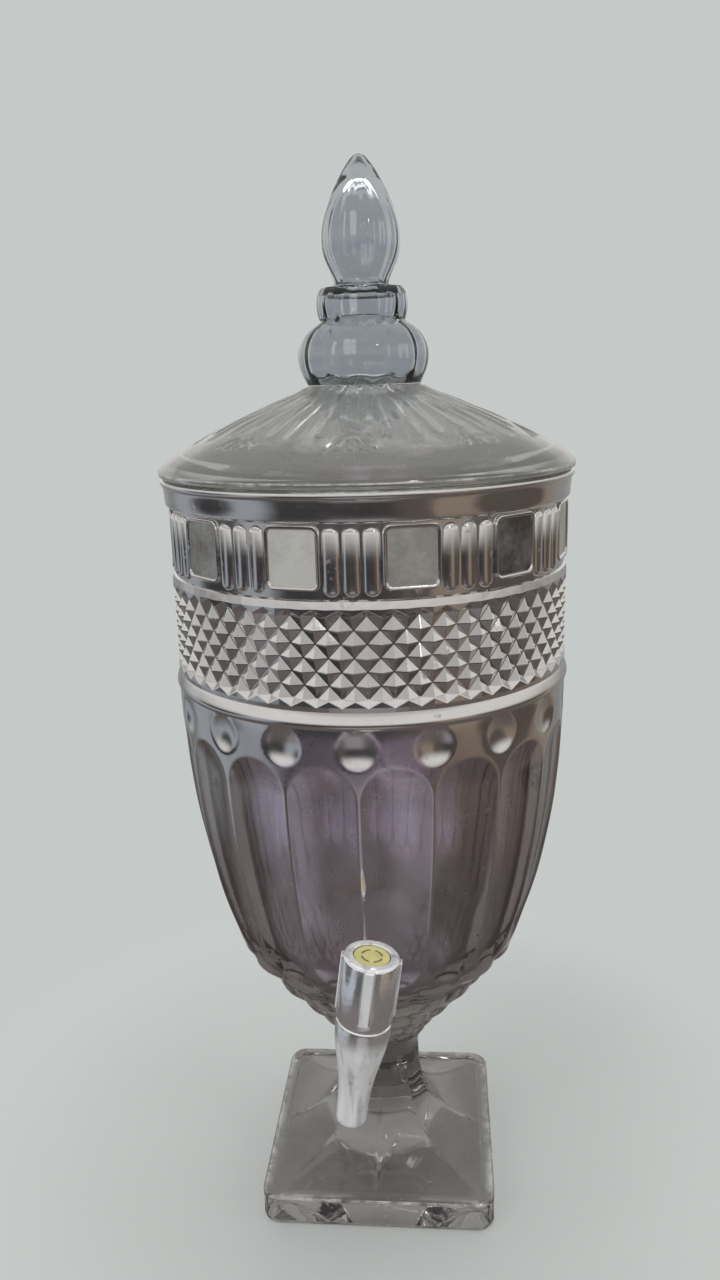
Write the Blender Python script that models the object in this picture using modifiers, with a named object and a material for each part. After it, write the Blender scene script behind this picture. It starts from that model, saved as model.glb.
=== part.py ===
"""Footed glass drink dispenser with a hollow finial lid and a plated tap.

Metres, +Z up. The origin is the middle of the foot's underside, and the tap faces -Y.
The glass is pressed: a band of framed squares and reeds, a band of pointed diamonds,
a row of thumbprint dimples and long arched flutes that end in scalloped tiers.
"""
import math

import bmesh
import bpy
from mathutils import Matrix, Vector

# General clearances
seat_gap = 0.0003
running_gap = 0.0003
cut_overrun = 0.0020
skin_lift = 0.00015
merge_distance = 0.000001
smooth_angle = math.radians(32)

# Foot
foot_side = 0.1240
foot_height = 0.0850
foot_corner_radius = 0.0100
foot_edge_height = 0.0167
foot_edge_bevel = 0.0015
foot_border_width = 0.0065
foot_groove_depth = 0.0006
stem_waist_radius = 0.0208
stem_waist_drop = 0.0160
stem_top_radius = 0.0262

# Bowl, bands stacked from the foot up
tier_height = 0.0615
wall_height = 0.1415
shoulder_band_height = 0.0046
roll_height = 0.0072
diamond_half_height = 0.00607
diamond_tooth_height = 0.0030
diamond_foot_height = 0.0022
ring_height = 0.0011
panel_band_height = 0.0312
neck_height = 0.0094
lip_height = 0.0042

# Bowl, radii: set back from the rim, and proud of what lies under
rim_radius = 0.1000
lip_round = 0.0012
neck_set_back = 0.0016
panel_set_back = 0.0042
ring_set_back = 0.0032
roll_proud = 0.0009
shoulder_set_back = 0.0025
ledge_radius = 0.0738
glass_wall = 0.0065
rim_wall = 0.0086
floor_drop = 0.0190
floor_flat_radius = 0.0400
floor_bend_inset = 0.0108
floor_bend_height = 0.0120

# Relief on the bowl
panel_groups = 12
frame_width = 0.0246
frame_margin = 0.0019
frame_lift = 0.0005
frame_corner_cut = 0.0020
frame_band_width = 0.0026
frame_proud = 0.0012
frame_sunk = 0.0024
panel_proud = 0.0006
reeds_per_group = 3
reed_spacing = 0.0005
reed_margin = 0.0008
reed_end_height = 0.0026
reed_proud = 0.0014
reed_sunk = 0.0008
diamond_columns = 54
diamond_rows = 6
diamond_proud = 0.0004
diamond_relief = 0.0024
flute_count = 18
flute_ridge_width = 0.0014
flute_hollow = 0.0016
flute_top_drop = 0.0135
flute_end_lift = 0.0070
flute_end_rise = 0.0080
dimple_drop = 0.0052
dimple_radius = 0.0092
dimple_depth = 0.0020
tier_lobe_depth = 0.0012

# Lid
lid_rim_overhang = 0.0004
lid_rim_height = 0.0040
lid_shoulder_inset = 0.0026
lid_shoulder_rise = 0.0052
lid_crown_radius = 0.0275
lid_crown_rise = 0.0396
lid_cone_bulge = 0.0020
lid_wall = 0.0050
lid_skirt_clearance = 0.0016
lid_skirt_depth = 0.0080
lid_skirt_wall = 0.0032
lid_opening_radius = 0.0195
lid_grooves = 18
lid_groove_depth = 0.0010
lid_groove_width = 0.0060
lid_groove_length = 0.0420

# Finial
finial_wall = 0.0046
bulb_radius = 0.0313
bulb_height = 0.0288
bead_radius = 0.0218
bead_height = 0.0150
flame_radius = 0.0187
flame_height = 0.0578

# Tap, in its own frame: barrel along Z, shank along +Y into the bowl
tap_rise = 0.0105
tap_tilt = math.radians(8)
tap_standoff = 0.0325
seat_proud = 0.0052
seat_thickness = 0.0130
seat_margin = 0.0003
spot_face_margin = 0.0004
nut_width = 0.0214
nut_thickness = 0.0075
gasket_inset = 0.00015
gasket_thickness = 0.0019
flange_thickness = 0.0034
shank_radius = 0.0078
shank_wall = 0.0032
shank_hole_clearance = 0.0004
shank_projection = 0.0022
barrel_radius = 0.0122
barrel_wall = 0.0047
barrel_half_height = 0.0088
barrel_band_height = 0.0048
spout_length = 0.0434
spout_radius = 0.0069
spout_wall = 0.0021
spout_edge_bevel = 0.0006
plug_port_radius = 0.0034
plug_bore_radius = 0.0036
groove_margin = 0.0025
o_ring_thickness = 0.0020
stem_radius = 0.0042
stem_round_length = 0.0102
stem_square = 0.0060
stem_square_length = 0.0140
stem_hole_depth = 0.0100
bonnet_clearance = 0.0009
bonnet_thickness = 0.0032
bonnet_notches = 4
bonnet_notch_radius = 0.0014
knob_radius = 0.0125
knob_gap = 0.0009
knob_head = 0.0072
knob_wall = 0.0016
knob_edge_bevel = 0.0013
knob_plate = 0.0054
knob_hub_wall = 0.0016
knob_rib_count = 4
knob_rib_width = 0.0044
knob_rib_proud = 0.0008
knob_rib_foot_gap = 0.0030
disc_margin = 0.0045
disc_thickness = 0.0010
disc_sunk = 0.0003
disc_mark_inset = 0.0018
disc_mark_depth = 0.0003
disc_mark_width = 0.0006
screw_head_radius = 0.0030
screw_head_height = 0.0018
screw_radius = 0.0014
screw_hole_clearance = 0.0003
screw_length = 0.0090
screw_slot_width = 0.0008
screw_slot_depth = 0.0008

# Facets
wall_steps = 54
tier_steps = 36
cavity_steps = 30
lid_steps = 36
finial_steps = 18
tap_steps = 20
small_steps = 14
tiny_steps = 8

# Shares of the sizes that they follow
# Side wall from the ledge up to the shoulder: height share, radius share
wall_shares = ((0.0, 0.0), (0.17, 0.34), (0.40, 0.69), (0.68, 0.915), (1.0, 1.0))
# Tiers from the stem joint up to the ledge: height share, radius share
tier_shares = ((0.20, 0.16), (0.31, 0.24), (0.39, 0.38), (0.51, 0.46), (0.63, 0.60), (0.79, 0.735))
# Lip of the bowl, from its top to its foot: radius taken off in lip rounds, height share
lip_shares = ((1.5, 0.0), (0.0, 0.40), (1.0, 1.0))
# Roll under the diamonds, top to bottom: height share, proud share
roll_shares = ((0.25, 1.0), (0.75, 1.0))
# Bend between the wall of the hollow and its floor: height share, radius share
bend_shares = ((0.0, 0.0), (0.27, 0.72), (1.0, 1.0))
# Flute, from its lower end up: share of the end's rise, then of the straight, then of the arch
flute_end_shares = (0.15,)
flute_body_shares = (0.0, 0.45, 1.0)
flute_arch_shares = (0.60, 0.96)
flute_arc_points = 4
# Flare of the foot, panel to waist: height share, spread share, how square, how eight-sided
flare_shares = (
    (0.0, 1.0, 1.0, 0.0), (0.08, 0.76, 0.70, 0.55), (0.19, 0.48, 0.28, 0.90),
    (0.35, 0.245, 0.05, 1.0), (0.57, 0.085, 0.0, 0.9), (0.80, 0.015, 0.0, 0.6), (1.0, 0.0, 0.0, 0.2),
)
# Lid groove, outwards: length share, width share
groove_shares = ((0.0, 0.2), (0.75, 1.0), (1.0, 0.2))
# Lid cone, from its crown down to its shoulder
cone_shares = (0.0, 0.36, 0.70, 1.0)
# Bulb, bead and flame of the finial, base to tip: height share, radius share
bulb_shares = ((0.0, 0.865), (0.18, 0.95), (0.45, 1.0), (0.72, 0.93), (0.90, 0.77))
bead_shares = ((0.0, 0.945), (0.45, 1.0), (0.92, 0.91))
flame_shares = (
    (0.0, 0.69), (0.12, 0.83), (0.35, 1.0), (0.53, 0.91), (0.71, 0.70), (0.87, 0.44), (0.965, 0.20),
    (1.0, 0.0),
)
hollow_top_share = 0.74
# Spout, from the barrel's band down to the lip: height share, taper share
spout_shares = ((0.12, 0.06), (0.25, 0.27), (0.40, 0.56), (0.60, 0.82), (0.82, 0.96))

# Worked out from the sizes above: heights
front = -math.pi / 2
stem_waist_height = foot_height - stem_waist_drop
ledge_height = foot_height + tier_height
shoulder_height = ledge_height + wall_height
roll_top_height = shoulder_height + shoulder_band_height + roll_height
last_row_height = roll_top_height + diamond_foot_height + diamond_tooth_height
first_row_height = last_row_height + diamond_rows * diamond_half_height
ring_edge_height = first_row_height + 2 * diamond_tooth_height
panel_band_foot = ring_edge_height + ring_height
panel_band_top = panel_band_foot + panel_band_height
rim_height = panel_band_top + neck_height + lip_height
floor_height = ledge_height - floor_drop
flute_top_height = shoulder_height - flute_top_drop
flute_end_height = ledge_height + flute_end_lift
dimple_height = shoulder_height - dimple_drop
lid_seat_height = rim_height + seat_gap
finial_base_height = lid_seat_height + lid_crown_rise + seat_gap
tap_height = ledge_height + tap_rise

# Radii
neck_radius = rim_radius - neck_set_back
panel_wall_radius = rim_radius - panel_set_back
ring_radius = rim_radius - ring_set_back
shoulder_radius = rim_radius - shoulder_set_back
diamond_peak_radius = ring_radius + diamond_proud
mouth_radius = rim_radius - rim_wall
floor_bend_radius = ledge_radius - floor_bend_inset
lid_rim_radius = rim_radius + lid_rim_overhang
lid_shoulder_radius = lid_rim_radius - lid_shoulder_inset

# Relief
group_width = panel_wall_radius * math.tau / panel_groups
reed_pitch = (group_width - frame_width) / reeds_per_group
reed_width = reed_pitch - reed_spacing
reed_height = panel_band_height - 2 * reed_margin
frame_height = panel_band_height - 2 * frame_margin

# Tap
nut_corner_radius = nut_width / math.sqrt(3)
gasket_radius = nut_corner_radius - gasket_inset
flange_radius = gasket_radius - gasket_inset
spot_face_radius = nut_corner_radius + spot_face_margin
seat_radius = spot_face_radius + seat_margin
barrel_cavity_radius = barrel_radius - barrel_wall
shank_neck_radius = barrel_half_height - seat_gap
shank_bore_radius = shank_radius - shank_wall
spout_bore_radius = spout_radius - spout_wall
flange_face = tap_standoff - gasket_thickness - 2 * seat_gap
clamped_length = seat_thickness + 2 * gasket_thickness + 4 * seat_gap
shank_end = flange_face + clamped_length + nut_thickness + shank_projection
plug_radius = barrel_cavity_radius - running_gap
plug_end = barrel_half_height - seat_gap
groove_offset = plug_end - groove_margin
stem_round_top = barrel_half_height + stem_round_length
stem_top = stem_round_top + stem_square_length
bonnet_base = barrel_half_height + seat_gap
bonnet_radius = knob_radius - knob_wall - bonnet_clearance
knob_bottom = barrel_half_height + knob_gap
knob_top = stem_top + knob_head
knob_hub_radius = stem_square / math.sqrt(2) + seat_gap + knob_hub_wall
disc_radius = knob_radius - disc_margin
disc_mark_radius = disc_radius - disc_mark_inset
screw_seat = knob_top - disc_sunk - disc_thickness - 3 * seat_gap - screw_head_height


def clear_scene():
    """Remove every object, mesh, material and collection that the file holds."""
    for store in (bpy.data.objects, bpy.data.meshes, bpy.data.materials, bpy.data.collections):
        for item in list(store):
            store.remove(item)


def make_collection(name):
    """Make one collection in the scene."""
    collection = bpy.data.collections.new(name)
    bpy.context.scene.collection.children.link(collection)
    return collection


def make_material(name, colour, roughness, metallic, transmission=0.0):
    """Make one Principled material."""
    material = bpy.data.materials.new(name)
    material.use_nodes = True
    shader = material.node_tree.nodes["Principled BSDF"]
    shader.inputs["Base Color"].default_value = (*colour, 1.0)
    shader.inputs["Roughness"].default_value = roughness
    shader.inputs["Metallic"].default_value = metallic
    shader.inputs["Transmission Weight"].default_value = transmission
    material.diffuse_color = (*colour, 1.0)
    return material


def mix(low, high, share):
    """Return the value that lies a share of the way from one to another."""
    return low + (high - low) * share


def add_node(name, mesh, material, place=Matrix()):
    """Add one named piece of the part."""
    mesh.name = name
    mesh.shade_smooth()
    mesh.set_sharp_from_angle(angle=smooth_angle)
    mesh.materials.append(material)
    piece = bpy.data.objects.new(name, mesh)
    piece.matrix_world = place
    part.objects.link(piece)
    return piece


def shape(piece, name, operation, mesh):
    """Cut a piece with a hidden body in the piece's own frame, or join the body on."""
    mesh.name = name
    body = bpy.data.objects.new(name, mesh)
    body.matrix_world = piece.matrix_world
    body.hide_render = True
    body.display_type = "WIRE"
    cutters.objects.link(body)
    modifier = piece.modifiers.new(name, "BOOLEAN")
    modifier.operation = operation
    modifier.solver = "EXACT"
    modifier.object = body


def mesh_from(form):
    """Turn a bmesh into a mesh with its faces turned outwards, and free it."""
    bmesh.ops.recalc_face_normals(form, faces=form.faces)
    mesh = bpy.data.meshes.new("form")
    form.to_mesh(mesh)
    form.free()
    return mesh


def turned(profile, steps, closed=False):
    """Turn a profile of (radius, height) points about Z with a Screw modifier.

    The profile runs down its outer side and up its inner side. A closed one stays clear
    of the axis. The first step lies at the front.
    """
    mesh = bpy.data.meshes.new("profile")
    edges = [(k, k + 1) for k in range(len(profile) - 1)]
    if closed:
        edges.append((len(profile) - 1, 0))
    mesh.from_pydata([(radius, 0, height) for radius, height in profile], edges, [])
    piece = bpy.data.objects.new("turning", mesh)
    part.objects.link(piece)
    screw = piece.modifiers.new("turn", "SCREW")
    screw.axis = "Z"
    screw.steps = steps
    screw.render_steps = steps
    screw.use_merge_vertices = True
    screw.merge_threshold = merge_distance
    bpy.context.view_layer.update()
    graph = bpy.context.evaluated_depsgraph_get()
    result = bpy.data.meshes.new_from_object(piece.evaluated_get(graph))
    bpy.data.objects.remove(piece)
    result.transform(Matrix.Rotation(front, 4, "Z"))
    return result


def cylinder(radius, low, high, steps):
    """Make a closed cylinder along Z between two heights."""
    return turned([(0, high), (radius, high), (radius, low), (0, low)], steps)


def box(size, centre):
    """Make a box of a size about a centre."""
    form = bmesh.new()
    bmesh.ops.create_cube(form, size=1.0)
    bmesh.ops.scale(form, verts=form.verts, vec=size)
    bmesh.ops.translate(form, verts=form.verts, vec=centre)
    return mesh_from(form)


def to_bowl(mesh):
    """Lay a mesh that stands along +Z down along +Y, towards the bowl."""
    mesh.transform(Matrix.Rotation(front, 4, "X"))
    return mesh


def to_front(mesh):
    """Lay a mesh that stands along +Z down along -Y at the tap's height, out of the bowl."""
    mesh.transform(Matrix.Translation((0, 0, tap_height)) @ Matrix.Rotation(-front, 4, "X"))
    return mesh


def loft(rings):
    """Skin a stack of rings that have as many points, and close both ends."""
    form = bmesh.new()
    rows = [[form.verts.new(point) for point in ring] for ring in rings]
    count = len(rows[0])
    for lower, upper in zip(rows, rows[1:]):
        for k in range(count):
            following = (k + 1) % count
            form.faces.new((lower[k], lower[following], upper[following], upper[k]))
    form.faces.new(rows[0])
    form.faces.new(rows[-1])
    return mesh_from(form)


def joined(meshes, merge=0.0):
    """Put several meshes in one, and merge the points that meet if asked to."""
    form = bmesh.new()
    for mesh in meshes:
        form.from_mesh(mesh)
        bpy.data.meshes.remove(mesh)
    if merge:
        bmesh.ops.remove_doubles(form, verts=form.verts, dist=merge)
    return mesh_from(form)


def spun(mesh, count, first_angle=0.0):
    """Copy a mesh round Z at even angles, as one mesh of separate bodies."""
    copies = []
    for k in range(count):
        copy = mesh.copy()
        copy.transform(Matrix.Rotation(first_angle + k * math.tau / count, 4, "Z"))
        copies.append(copy)
    bpy.data.meshes.remove(mesh)
    return joined(copies)


def radius_at(outline, height):
    """Read the radius at a height on an outline of (radius, height) points that climbs."""
    for (radius_a, height_a), (radius_b, height_b) in zip(outline, outline[1:]):
        if height <= height_b:
            return mix(radius_a, radius_b, (height - height_a) / (height_b - height_a))
    return outline[-1][0]


def wall_outline():
    """Return the side wall from the ledge up to the shoulder."""
    return [
        (mix(ledge_radius, shoulder_radius, spread), mix(ledge_height, shoulder_height, rise))
        for rise, spread in wall_shares
    ]


def upper_outline():
    """Return the outside of the bowl from the lip down to the ring over the diamonds."""
    points = [
        (rim_radius - off * lip_round, rim_height - drop * lip_height) for off, drop in lip_shares
    ]
    return points + [
        (neck_radius, panel_band_top + reed_proud),
        (panel_wall_radius, panel_band_top),
        (panel_wall_radius, panel_band_foot),
        (ring_radius, ring_edge_height),
    ]


def roll_outline():
    """Return the smooth roll under the diamonds and the wall down to the ledge."""
    points = [(ring_radius, roll_top_height)]
    for drop, proud in roll_shares:
        radius = mix(ring_radius, shoulder_radius, drop) + proud * roll_proud
        points.append((radius, roll_top_height - drop * roll_height))
    points.append((shoulder_radius, roll_top_height - roll_height))
    return points + wall_outline()[::-1]


def ring_points(form, radius, height, steps, dip=0.0):
    """Add a ring of points to a form, every second one pulled in by a dip if there is one."""
    points = []
    for k in range(steps):
        angle = front + k * math.tau / steps
        reach = radius - (dip if k % 2 == 0 else 0)
        points.append(form.verts.new((reach * math.cos(angle), reach * math.sin(angle), height)))
    return points


def tier_underside():
    """Loft the scalloped tiers from the ledge down to the stem joint."""
    form = bmesh.new()
    ledge = ring_points(form, ledge_radius, ledge_height, wall_steps)
    rows = []
    for rise, spread in reversed(tier_shares):
        height = mix(foot_height, ledge_height, rise)
        radius = mix(stem_top_radius, ledge_radius, spread)
        rows.append(ring_points(form, radius, height, tier_steps, tier_lobe_depth))
    base = ring_points(form, stem_top_radius, foot_height + seat_gap, tier_steps)
    rows.append(base)
    for k in range(flute_count):
        upper = [ledge[(3 * k + j) % wall_steps] for j in range(4)]
        lower = [rows[0][(2 * k + j) % tier_steps] for j in range(3)]
        form.faces.new((upper[0], lower[0], upper[1]))
        form.faces.new((upper[1], lower[0], lower[1]))
        form.faces.new((upper[1], lower[1], upper[2]))
        form.faces.new((upper[2], lower[1], lower[2]))
        form.faces.new((upper[2], lower[2], upper[3]))
    for higher, lower in zip(rows, rows[1:]):
        for k in range(tier_steps):
            following = (k + 1) % tier_steps
            form.faces.new((higher[k], lower[k], lower[following], higher[following]))
    form.faces.new(base)
    return mesh_from(form)


def diamond_sleeve():
    """Build the diamond band as a lattice of peaks and grooves between two toothed edges.

    Peaks stand where column and row add up to an even number. Each cell is split from
    groove to groove, so every peak is a pyramid with four flat sides.
    """
    form = bmesh.new()
    columns = 2 * diamond_columns
    groove_radius = diamond_peak_radius - diamond_relief

    def row_points(height, radii, stride=1):
        points = []
        for column in range(0, columns, stride):
            angle = front + column * math.tau / columns
            radius = radii[column % 2]
            points.append(form.verts.new((radius * math.cos(angle), radius * math.sin(angle), height)))
        return points

    def split(upper, lower, falling):
        for column in range(columns):
            following = (column + 1) % columns
            corners = (upper[column], lower[column], lower[following], upper[following])
            cut = falling(column)
            halves = ((0, 1, 2), (0, 2, 3)) if cut else ((0, 1, 3), (1, 2, 3))
            for half in halves:
                form.faces.new([corners[k] for k in half])

    rows = []
    for row in range(diamond_rows + 1):
        radii = (diamond_peak_radius, groove_radius)
        rows.append(row_points(first_row_height - row * diamond_half_height, radii[::1 - 2 * (row % 2)]))
    for row in range(diamond_rows):
        split(rows[row], rows[row + 1], lambda column: (column + row) % 2 == 1)
    for teeth_height, edge_height, row in (
            (first_row_height + diamond_tooth_height, ring_edge_height, rows[0]),
            (last_row_height - diamond_tooth_height, roll_top_height, rows[-1])):
        teeth = row_points(teeth_height, (diamond_peak_radius, diamond_peak_radius))
        edge = row_points(edge_height, (ring_radius, ring_radius), 2)
        split(teeth, row, lambda column: column % 2 == 1)
        for k in range(diamond_columns):
            following = (k + 1) % diamond_columns
            middle = teeth[2 * k + 1]
            form.faces.new((edge[k], teeth[2 * k], middle))
            form.faces.new((edge[k], middle, edge[following]))
            form.faces.new((edge[following], middle, teeth[(2 * k + 2) % columns]))
    return mesh_from(form)


def cavity():
    """Turn the hollow of the bowl, from above the lip down to its floor."""
    profile = [
        (0, rim_height + cut_overrun),
        (mouth_radius + 2 * lip_round, rim_height + cut_overrun),
        (mouth_radius, rim_height - lip_round),
        (mouth_radius, panel_band_top),
    ]
    bend_top = floor_height + floor_bend_height
    for radius, height in reversed(wall_outline()):
        if height > bend_top + floor_bend_height:
            profile.append((radius - glass_wall, height))
    for rise, spread in reversed(bend_shares):
        profile.append((
            mix(floor_flat_radius, floor_bend_radius, spread),
            mix(floor_height, bend_top, rise),
        ))
    profile.append((0, floor_height))
    return turned(profile, cavity_steps)


def flute():
    """Loft the cutter of one long hollow flute with an arched top and a rounded end."""
    wall = wall_outline()
    half_angle = math.pi / flute_count
    top_half = radius_at(wall, flute_top_height) * half_angle - flute_ridge_width / 2
    arch_foot = flute_top_height - top_half
    end_head = flute_end_height + flute_end_rise
    stations = []
    for share in flute_end_shares:
        height = mix(flute_end_height, end_head, share)
        stations.append((height, math.sqrt(1 - (1 - share) ** 2)))
    for share in flute_body_shares:
        stations.append((mix(end_head, arch_foot, share), 1))
    for share in flute_arch_shares:
        stations.append((mix(arch_foot, flute_top_height, share), math.sqrt(1 - share ** 2)))
    rings = []
    for height, narrowing in stations:
        skin = radius_at(wall, height) + skin_lift
        angle = narrowing * (half_angle - flute_ridge_width / 2 / skin)
        half = skin * math.sin(angle)
        face = skin * math.cos(angle)
        ring = []
        for k in range(flute_arc_points + 1):
            across = 2 * k / flute_arc_points - 1
            sink = flute_hollow * narrowing ** 2 * (1 - across ** 2)
            ring.append((half * across, sink - face, height))
        ring.append((half, -skin - cut_overrun, height))
        ring.append((-half, -skin - cut_overrun, height))
        rings.append(ring)
    return loft(rings)


def dimple():
    """Make the ball that presses one dimple."""
    ball_radius = (dimple_radius ** 2 + dimple_depth ** 2) / (2 * dimple_depth)
    form = bmesh.new()
    bmesh.ops.create_uvsphere(form, u_segments=8, v_segments=16, radius=ball_radius)
    bmesh.ops.rotate(form, verts=form.verts, matrix=Matrix.Rotation(front, 3, "X"))
    distance = radius_at(wall_outline(), dimple_height) + ball_radius - dimple_depth
    bmesh.ops.translate(form, verts=form.verts, vec=(0, -distance, dimple_height))
    return mesh_from(form)


def reed():
    """Loft one upright reed with eased ends, half sunk in the wall."""
    middle = (panel_band_foot + panel_band_top) / 2
    low = -panel_wall_radius + reed_sunk
    rings = []
    for side, inset in ((-1, 0), (-1, reed_end_height), (1, reed_end_height), (1, 0)):
        half = reed_width / 2 if inset else reed_width / 4
        high = -panel_wall_radius - reed_proud if inset else low
        height = middle + side * (reed_height / 2 - inset)
        rings.append([
            (-half, low, height), (-half / 2, high, height), (half / 2, high, height),
            (half, low, height), (0, low + reed_sunk, height),
        ])
    return loft(rings)


def frame_outline(inset):
    """Return the frame's eight corners in (across, up), moved in by an inset."""
    half_width = frame_width / 2 - inset
    half_height = frame_height / 2 - inset
    cut = frame_corner_cut
    return [
        (half_width, cut - half_height), (half_width, half_height - cut),
        (half_width - cut, half_height), (cut - half_width, half_height),
        (-half_width, half_height - cut), (-half_width, cut - half_height),
        (cut - half_width, -half_height), (half_width - cut, -half_height),
    ]


def frame():
    """Loft one square panel in its raised frame, wrapped on the wall."""
    middle = (panel_band_foot + panel_band_top) / 2 + frame_lift
    steps = ((0, -frame_sunk), (frame_band_width / 4, frame_proud), (frame_band_width, panel_proud))
    rings = []
    for inset, proud in steps:
        ring = []
        for across, up in frame_outline(inset):
            angle = front + across / panel_wall_radius
            radius = panel_wall_radius + proud
            ring.append((radius * math.cos(angle), radius * math.sin(angle), middle + up))
        rings.append(ring)
    return loft(rings)


def panel_relief():
    """Return the band of frames and reeds as one mesh of separate bodies."""
    group_angle = math.tau / panel_groups
    bodies = [spun(frame(), panel_groups, group_angle / 2)]
    for k in range(reeds_per_group):
        offset = (k - (reeds_per_group - 1) / 2) * reed_pitch / panel_wall_radius
        bodies.append(spun(reed(), panel_groups, offset))
    return joined(bodies)


def seat_distance():
    """Return how far from the bowl's axis the outer face of the tap's seat lies."""
    return radius_at(wall_outline(), tap_height) + seat_proud


def tap_frame():
    """Return the tap's place: its barrel stands off the seat and leans sideways."""
    reach = seat_distance() + tap_standoff
    return Matrix.Translation((0, -reach, tap_height)) @ Matrix.Rotation(tap_tilt, 4, "Y")


def make_bowl(material):
    """Make the pressed glass bowl with its relief, hollow, tap seat and bore."""
    upper = turned([(0, rim_height)] + upper_outline(), wall_steps)
    side = turned(roll_outline(), wall_steps)
    blank = joined([upper, diamond_sleeve(), side, tier_underside()], 10 * merge_distance)
    bowl = add_node("bowl", blank, material)
    shape(bowl, "panel_relief", "UNION", panel_relief())
    shape(bowl, "flutes", "DIFFERENCE", spun(flute(), flute_count, math.pi / flute_count))
    shape(bowl, "dimples", "DIFFERENCE", spun(dimple(), flute_count))
    shape(bowl, "hollow", "DIFFERENCE", cavity())
    outer = seat_distance()
    inner = outer - seat_thickness
    shape(bowl, "tap_seat", "UNION", to_front(cylinder(seat_radius, inner, outer, tap_steps)))
    spot_end = inner - nut_thickness - gasket_thickness - 3 * shank_projection
    spot = cylinder(spot_face_radius, spot_end, inner, tap_steps)
    shape(bowl, "spot_face", "DIFFERENCE", to_front(spot))
    bore_radius = shank_radius + shank_hole_clearance
    bore = cylinder(bore_radius, spot_end, outer + cut_overrun, tap_steps)
    shape(bowl, "tap_bore", "DIFFERENCE", to_front(bore))


def foot_angles():
    """Return the directions of the foot's points, with three on each corner."""
    reach = foot_side / 2 - foot_corner_radius
    corner = math.atan2(reach, foot_side / 2)
    quarter = math.pi / 2
    directions = [0, corner / 3, 2 * corner / 3, corner, quarter / 2]
    directions += [quarter - corner, quarter - 2 * corner / 3, quarter - corner / 3]
    return [start * quarter + angle for start in range(4) for angle in directions]


def square_reach(angle, half, corner):
    """Return how far a rounded square's edge lies in a direction."""
    across, along = abs(math.cos(angle)), abs(math.sin(angle))
    reach = half / max(across, along)
    inner = half - corner
    if min(across, along) * reach <= inner:
        return reach
    middle = inner * (across + along)
    return middle + math.sqrt(max(0.0, corner ** 2 - 2 * inner ** 2 + middle ** 2))


def octagon_reach(angle, radius):
    """Return how far an eight-sided outline with a corner at the front lies in a direction."""
    step = math.tau / 8
    offset = angle % step
    return radius * math.cos(step / 2) / math.cos(offset - step / 2)


def foot_ring(height, reach):
    """Return a ring of the foot whose points lie as far out as a function says."""
    return [
        (reach(angle) * math.cos(angle), reach(angle) * math.sin(angle), height)
        for angle in foot_angles()
    ]


def make_foot(material):
    """Make the square pedestal foot, lofted up into its waisted stem."""
    half = foot_side / 2
    rings = []
    bevel_foot = foot_edge_height - foot_edge_bevel
    for height, inset in ((0, foot_edge_bevel), (foot_edge_bevel, 0), (bevel_foot, 0),
                          (foot_edge_height, foot_edge_bevel)):
        rings.append(foot_ring(
            height, lambda angle: square_reach(angle, half - inset, foot_corner_radius - inset)))
    panel_half = half - foot_border_width - foot_edge_bevel
    panel_height = foot_edge_height - foot_groove_depth
    for rise, spread, square, facet in flare_shares:
        wide = mix(stem_waist_radius, panel_half, spread)
        corner = mix(wide, foot_corner_radius / 2, square)

        def reach(angle):
            round_reach = mix(wide, octagon_reach(angle, wide), facet)
            return mix(round_reach, square_reach(angle, wide, corner), square)

        rings.append(foot_ring(mix(panel_height, stem_waist_height, rise), reach))
    for share in (0.5, 1.0):
        radius = mix(stem_waist_radius, stem_top_radius, share ** 2)
        height = mix(stem_waist_height, foot_height, share)
        rings.append(foot_ring(height, lambda angle: radius))
    add_node("pedestal_foot", loft(rings), material)


def lid_cone():
    """Return the lid's outer cone from its crown down to its shoulder."""
    return [
        (
            mix(lid_crown_radius, lid_shoulder_radius, share),
            lid_seat_height + mix(lid_crown_rise, lid_shoulder_rise, share)
            + lid_cone_bulge * math.sin(share * math.pi),
        )
        for share in cone_shares
    ]


def lid_groove():
    """Make the cutter of one shallow groove that widens down the lid's cone."""
    falling = [(-height, radius) for radius, height in lid_cone()]
    across_cone = [(height, radius) for height, radius in falling]
    start = lid_crown_radius + lid_groove_width / 2
    rings = []
    for along, wide in groove_shares:
        radius = start + along * lid_groove_length
        height = -radius_at(across_cone, radius)
        half = lid_groove_width * wide / 2
        depth = lid_groove_depth * wide
        rings.append([
            (-half, -radius, height + skin_lift), (0, -radius, height - depth),
            (half, -radius, height + skin_lift), (half, -radius, height + cut_overrun),
            (-half, -radius, height + cut_overrun),
        ])
    return loft(rings)


def make_lid(material):
    """Make the low cone of the lid with its rim, locating skirt and radial grooves."""
    skirt_radius = mouth_radius - lid_skirt_clearance
    skirt_inner = skirt_radius - lid_skirt_wall
    skirt_foot = lid_seat_height - lid_skirt_depth
    cone = lid_cone()
    middles = [(radius, height - lid_wall) for radius, height in cone[1:-1]]
    inside = [(skirt_inner, lid_seat_height)] + middles[::-1]
    inside.append((lid_opening_radius, cone[0][1] - lid_wall))
    profile = [(lid_opening_radius, cone[0][1])] + cone
    profile += [
        (lid_rim_radius, lid_seat_height + 0.7 * lid_rim_height),
        (lid_rim_radius, lid_seat_height + 0.3 * lid_rim_height),
        (lid_rim_radius - lip_round, lid_seat_height),
        (skirt_radius, lid_seat_height),
        (skirt_radius, skirt_foot),
        (skirt_inner, skirt_foot),
    ]
    lid = add_node("lid", turned(profile + inside, lid_steps, True), material)
    grooves = spun(lid_groove(), lid_grooves, math.pi / lid_grooves)
    shape(lid, "lid_grooves", "DIFFERENCE", grooves)


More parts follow.
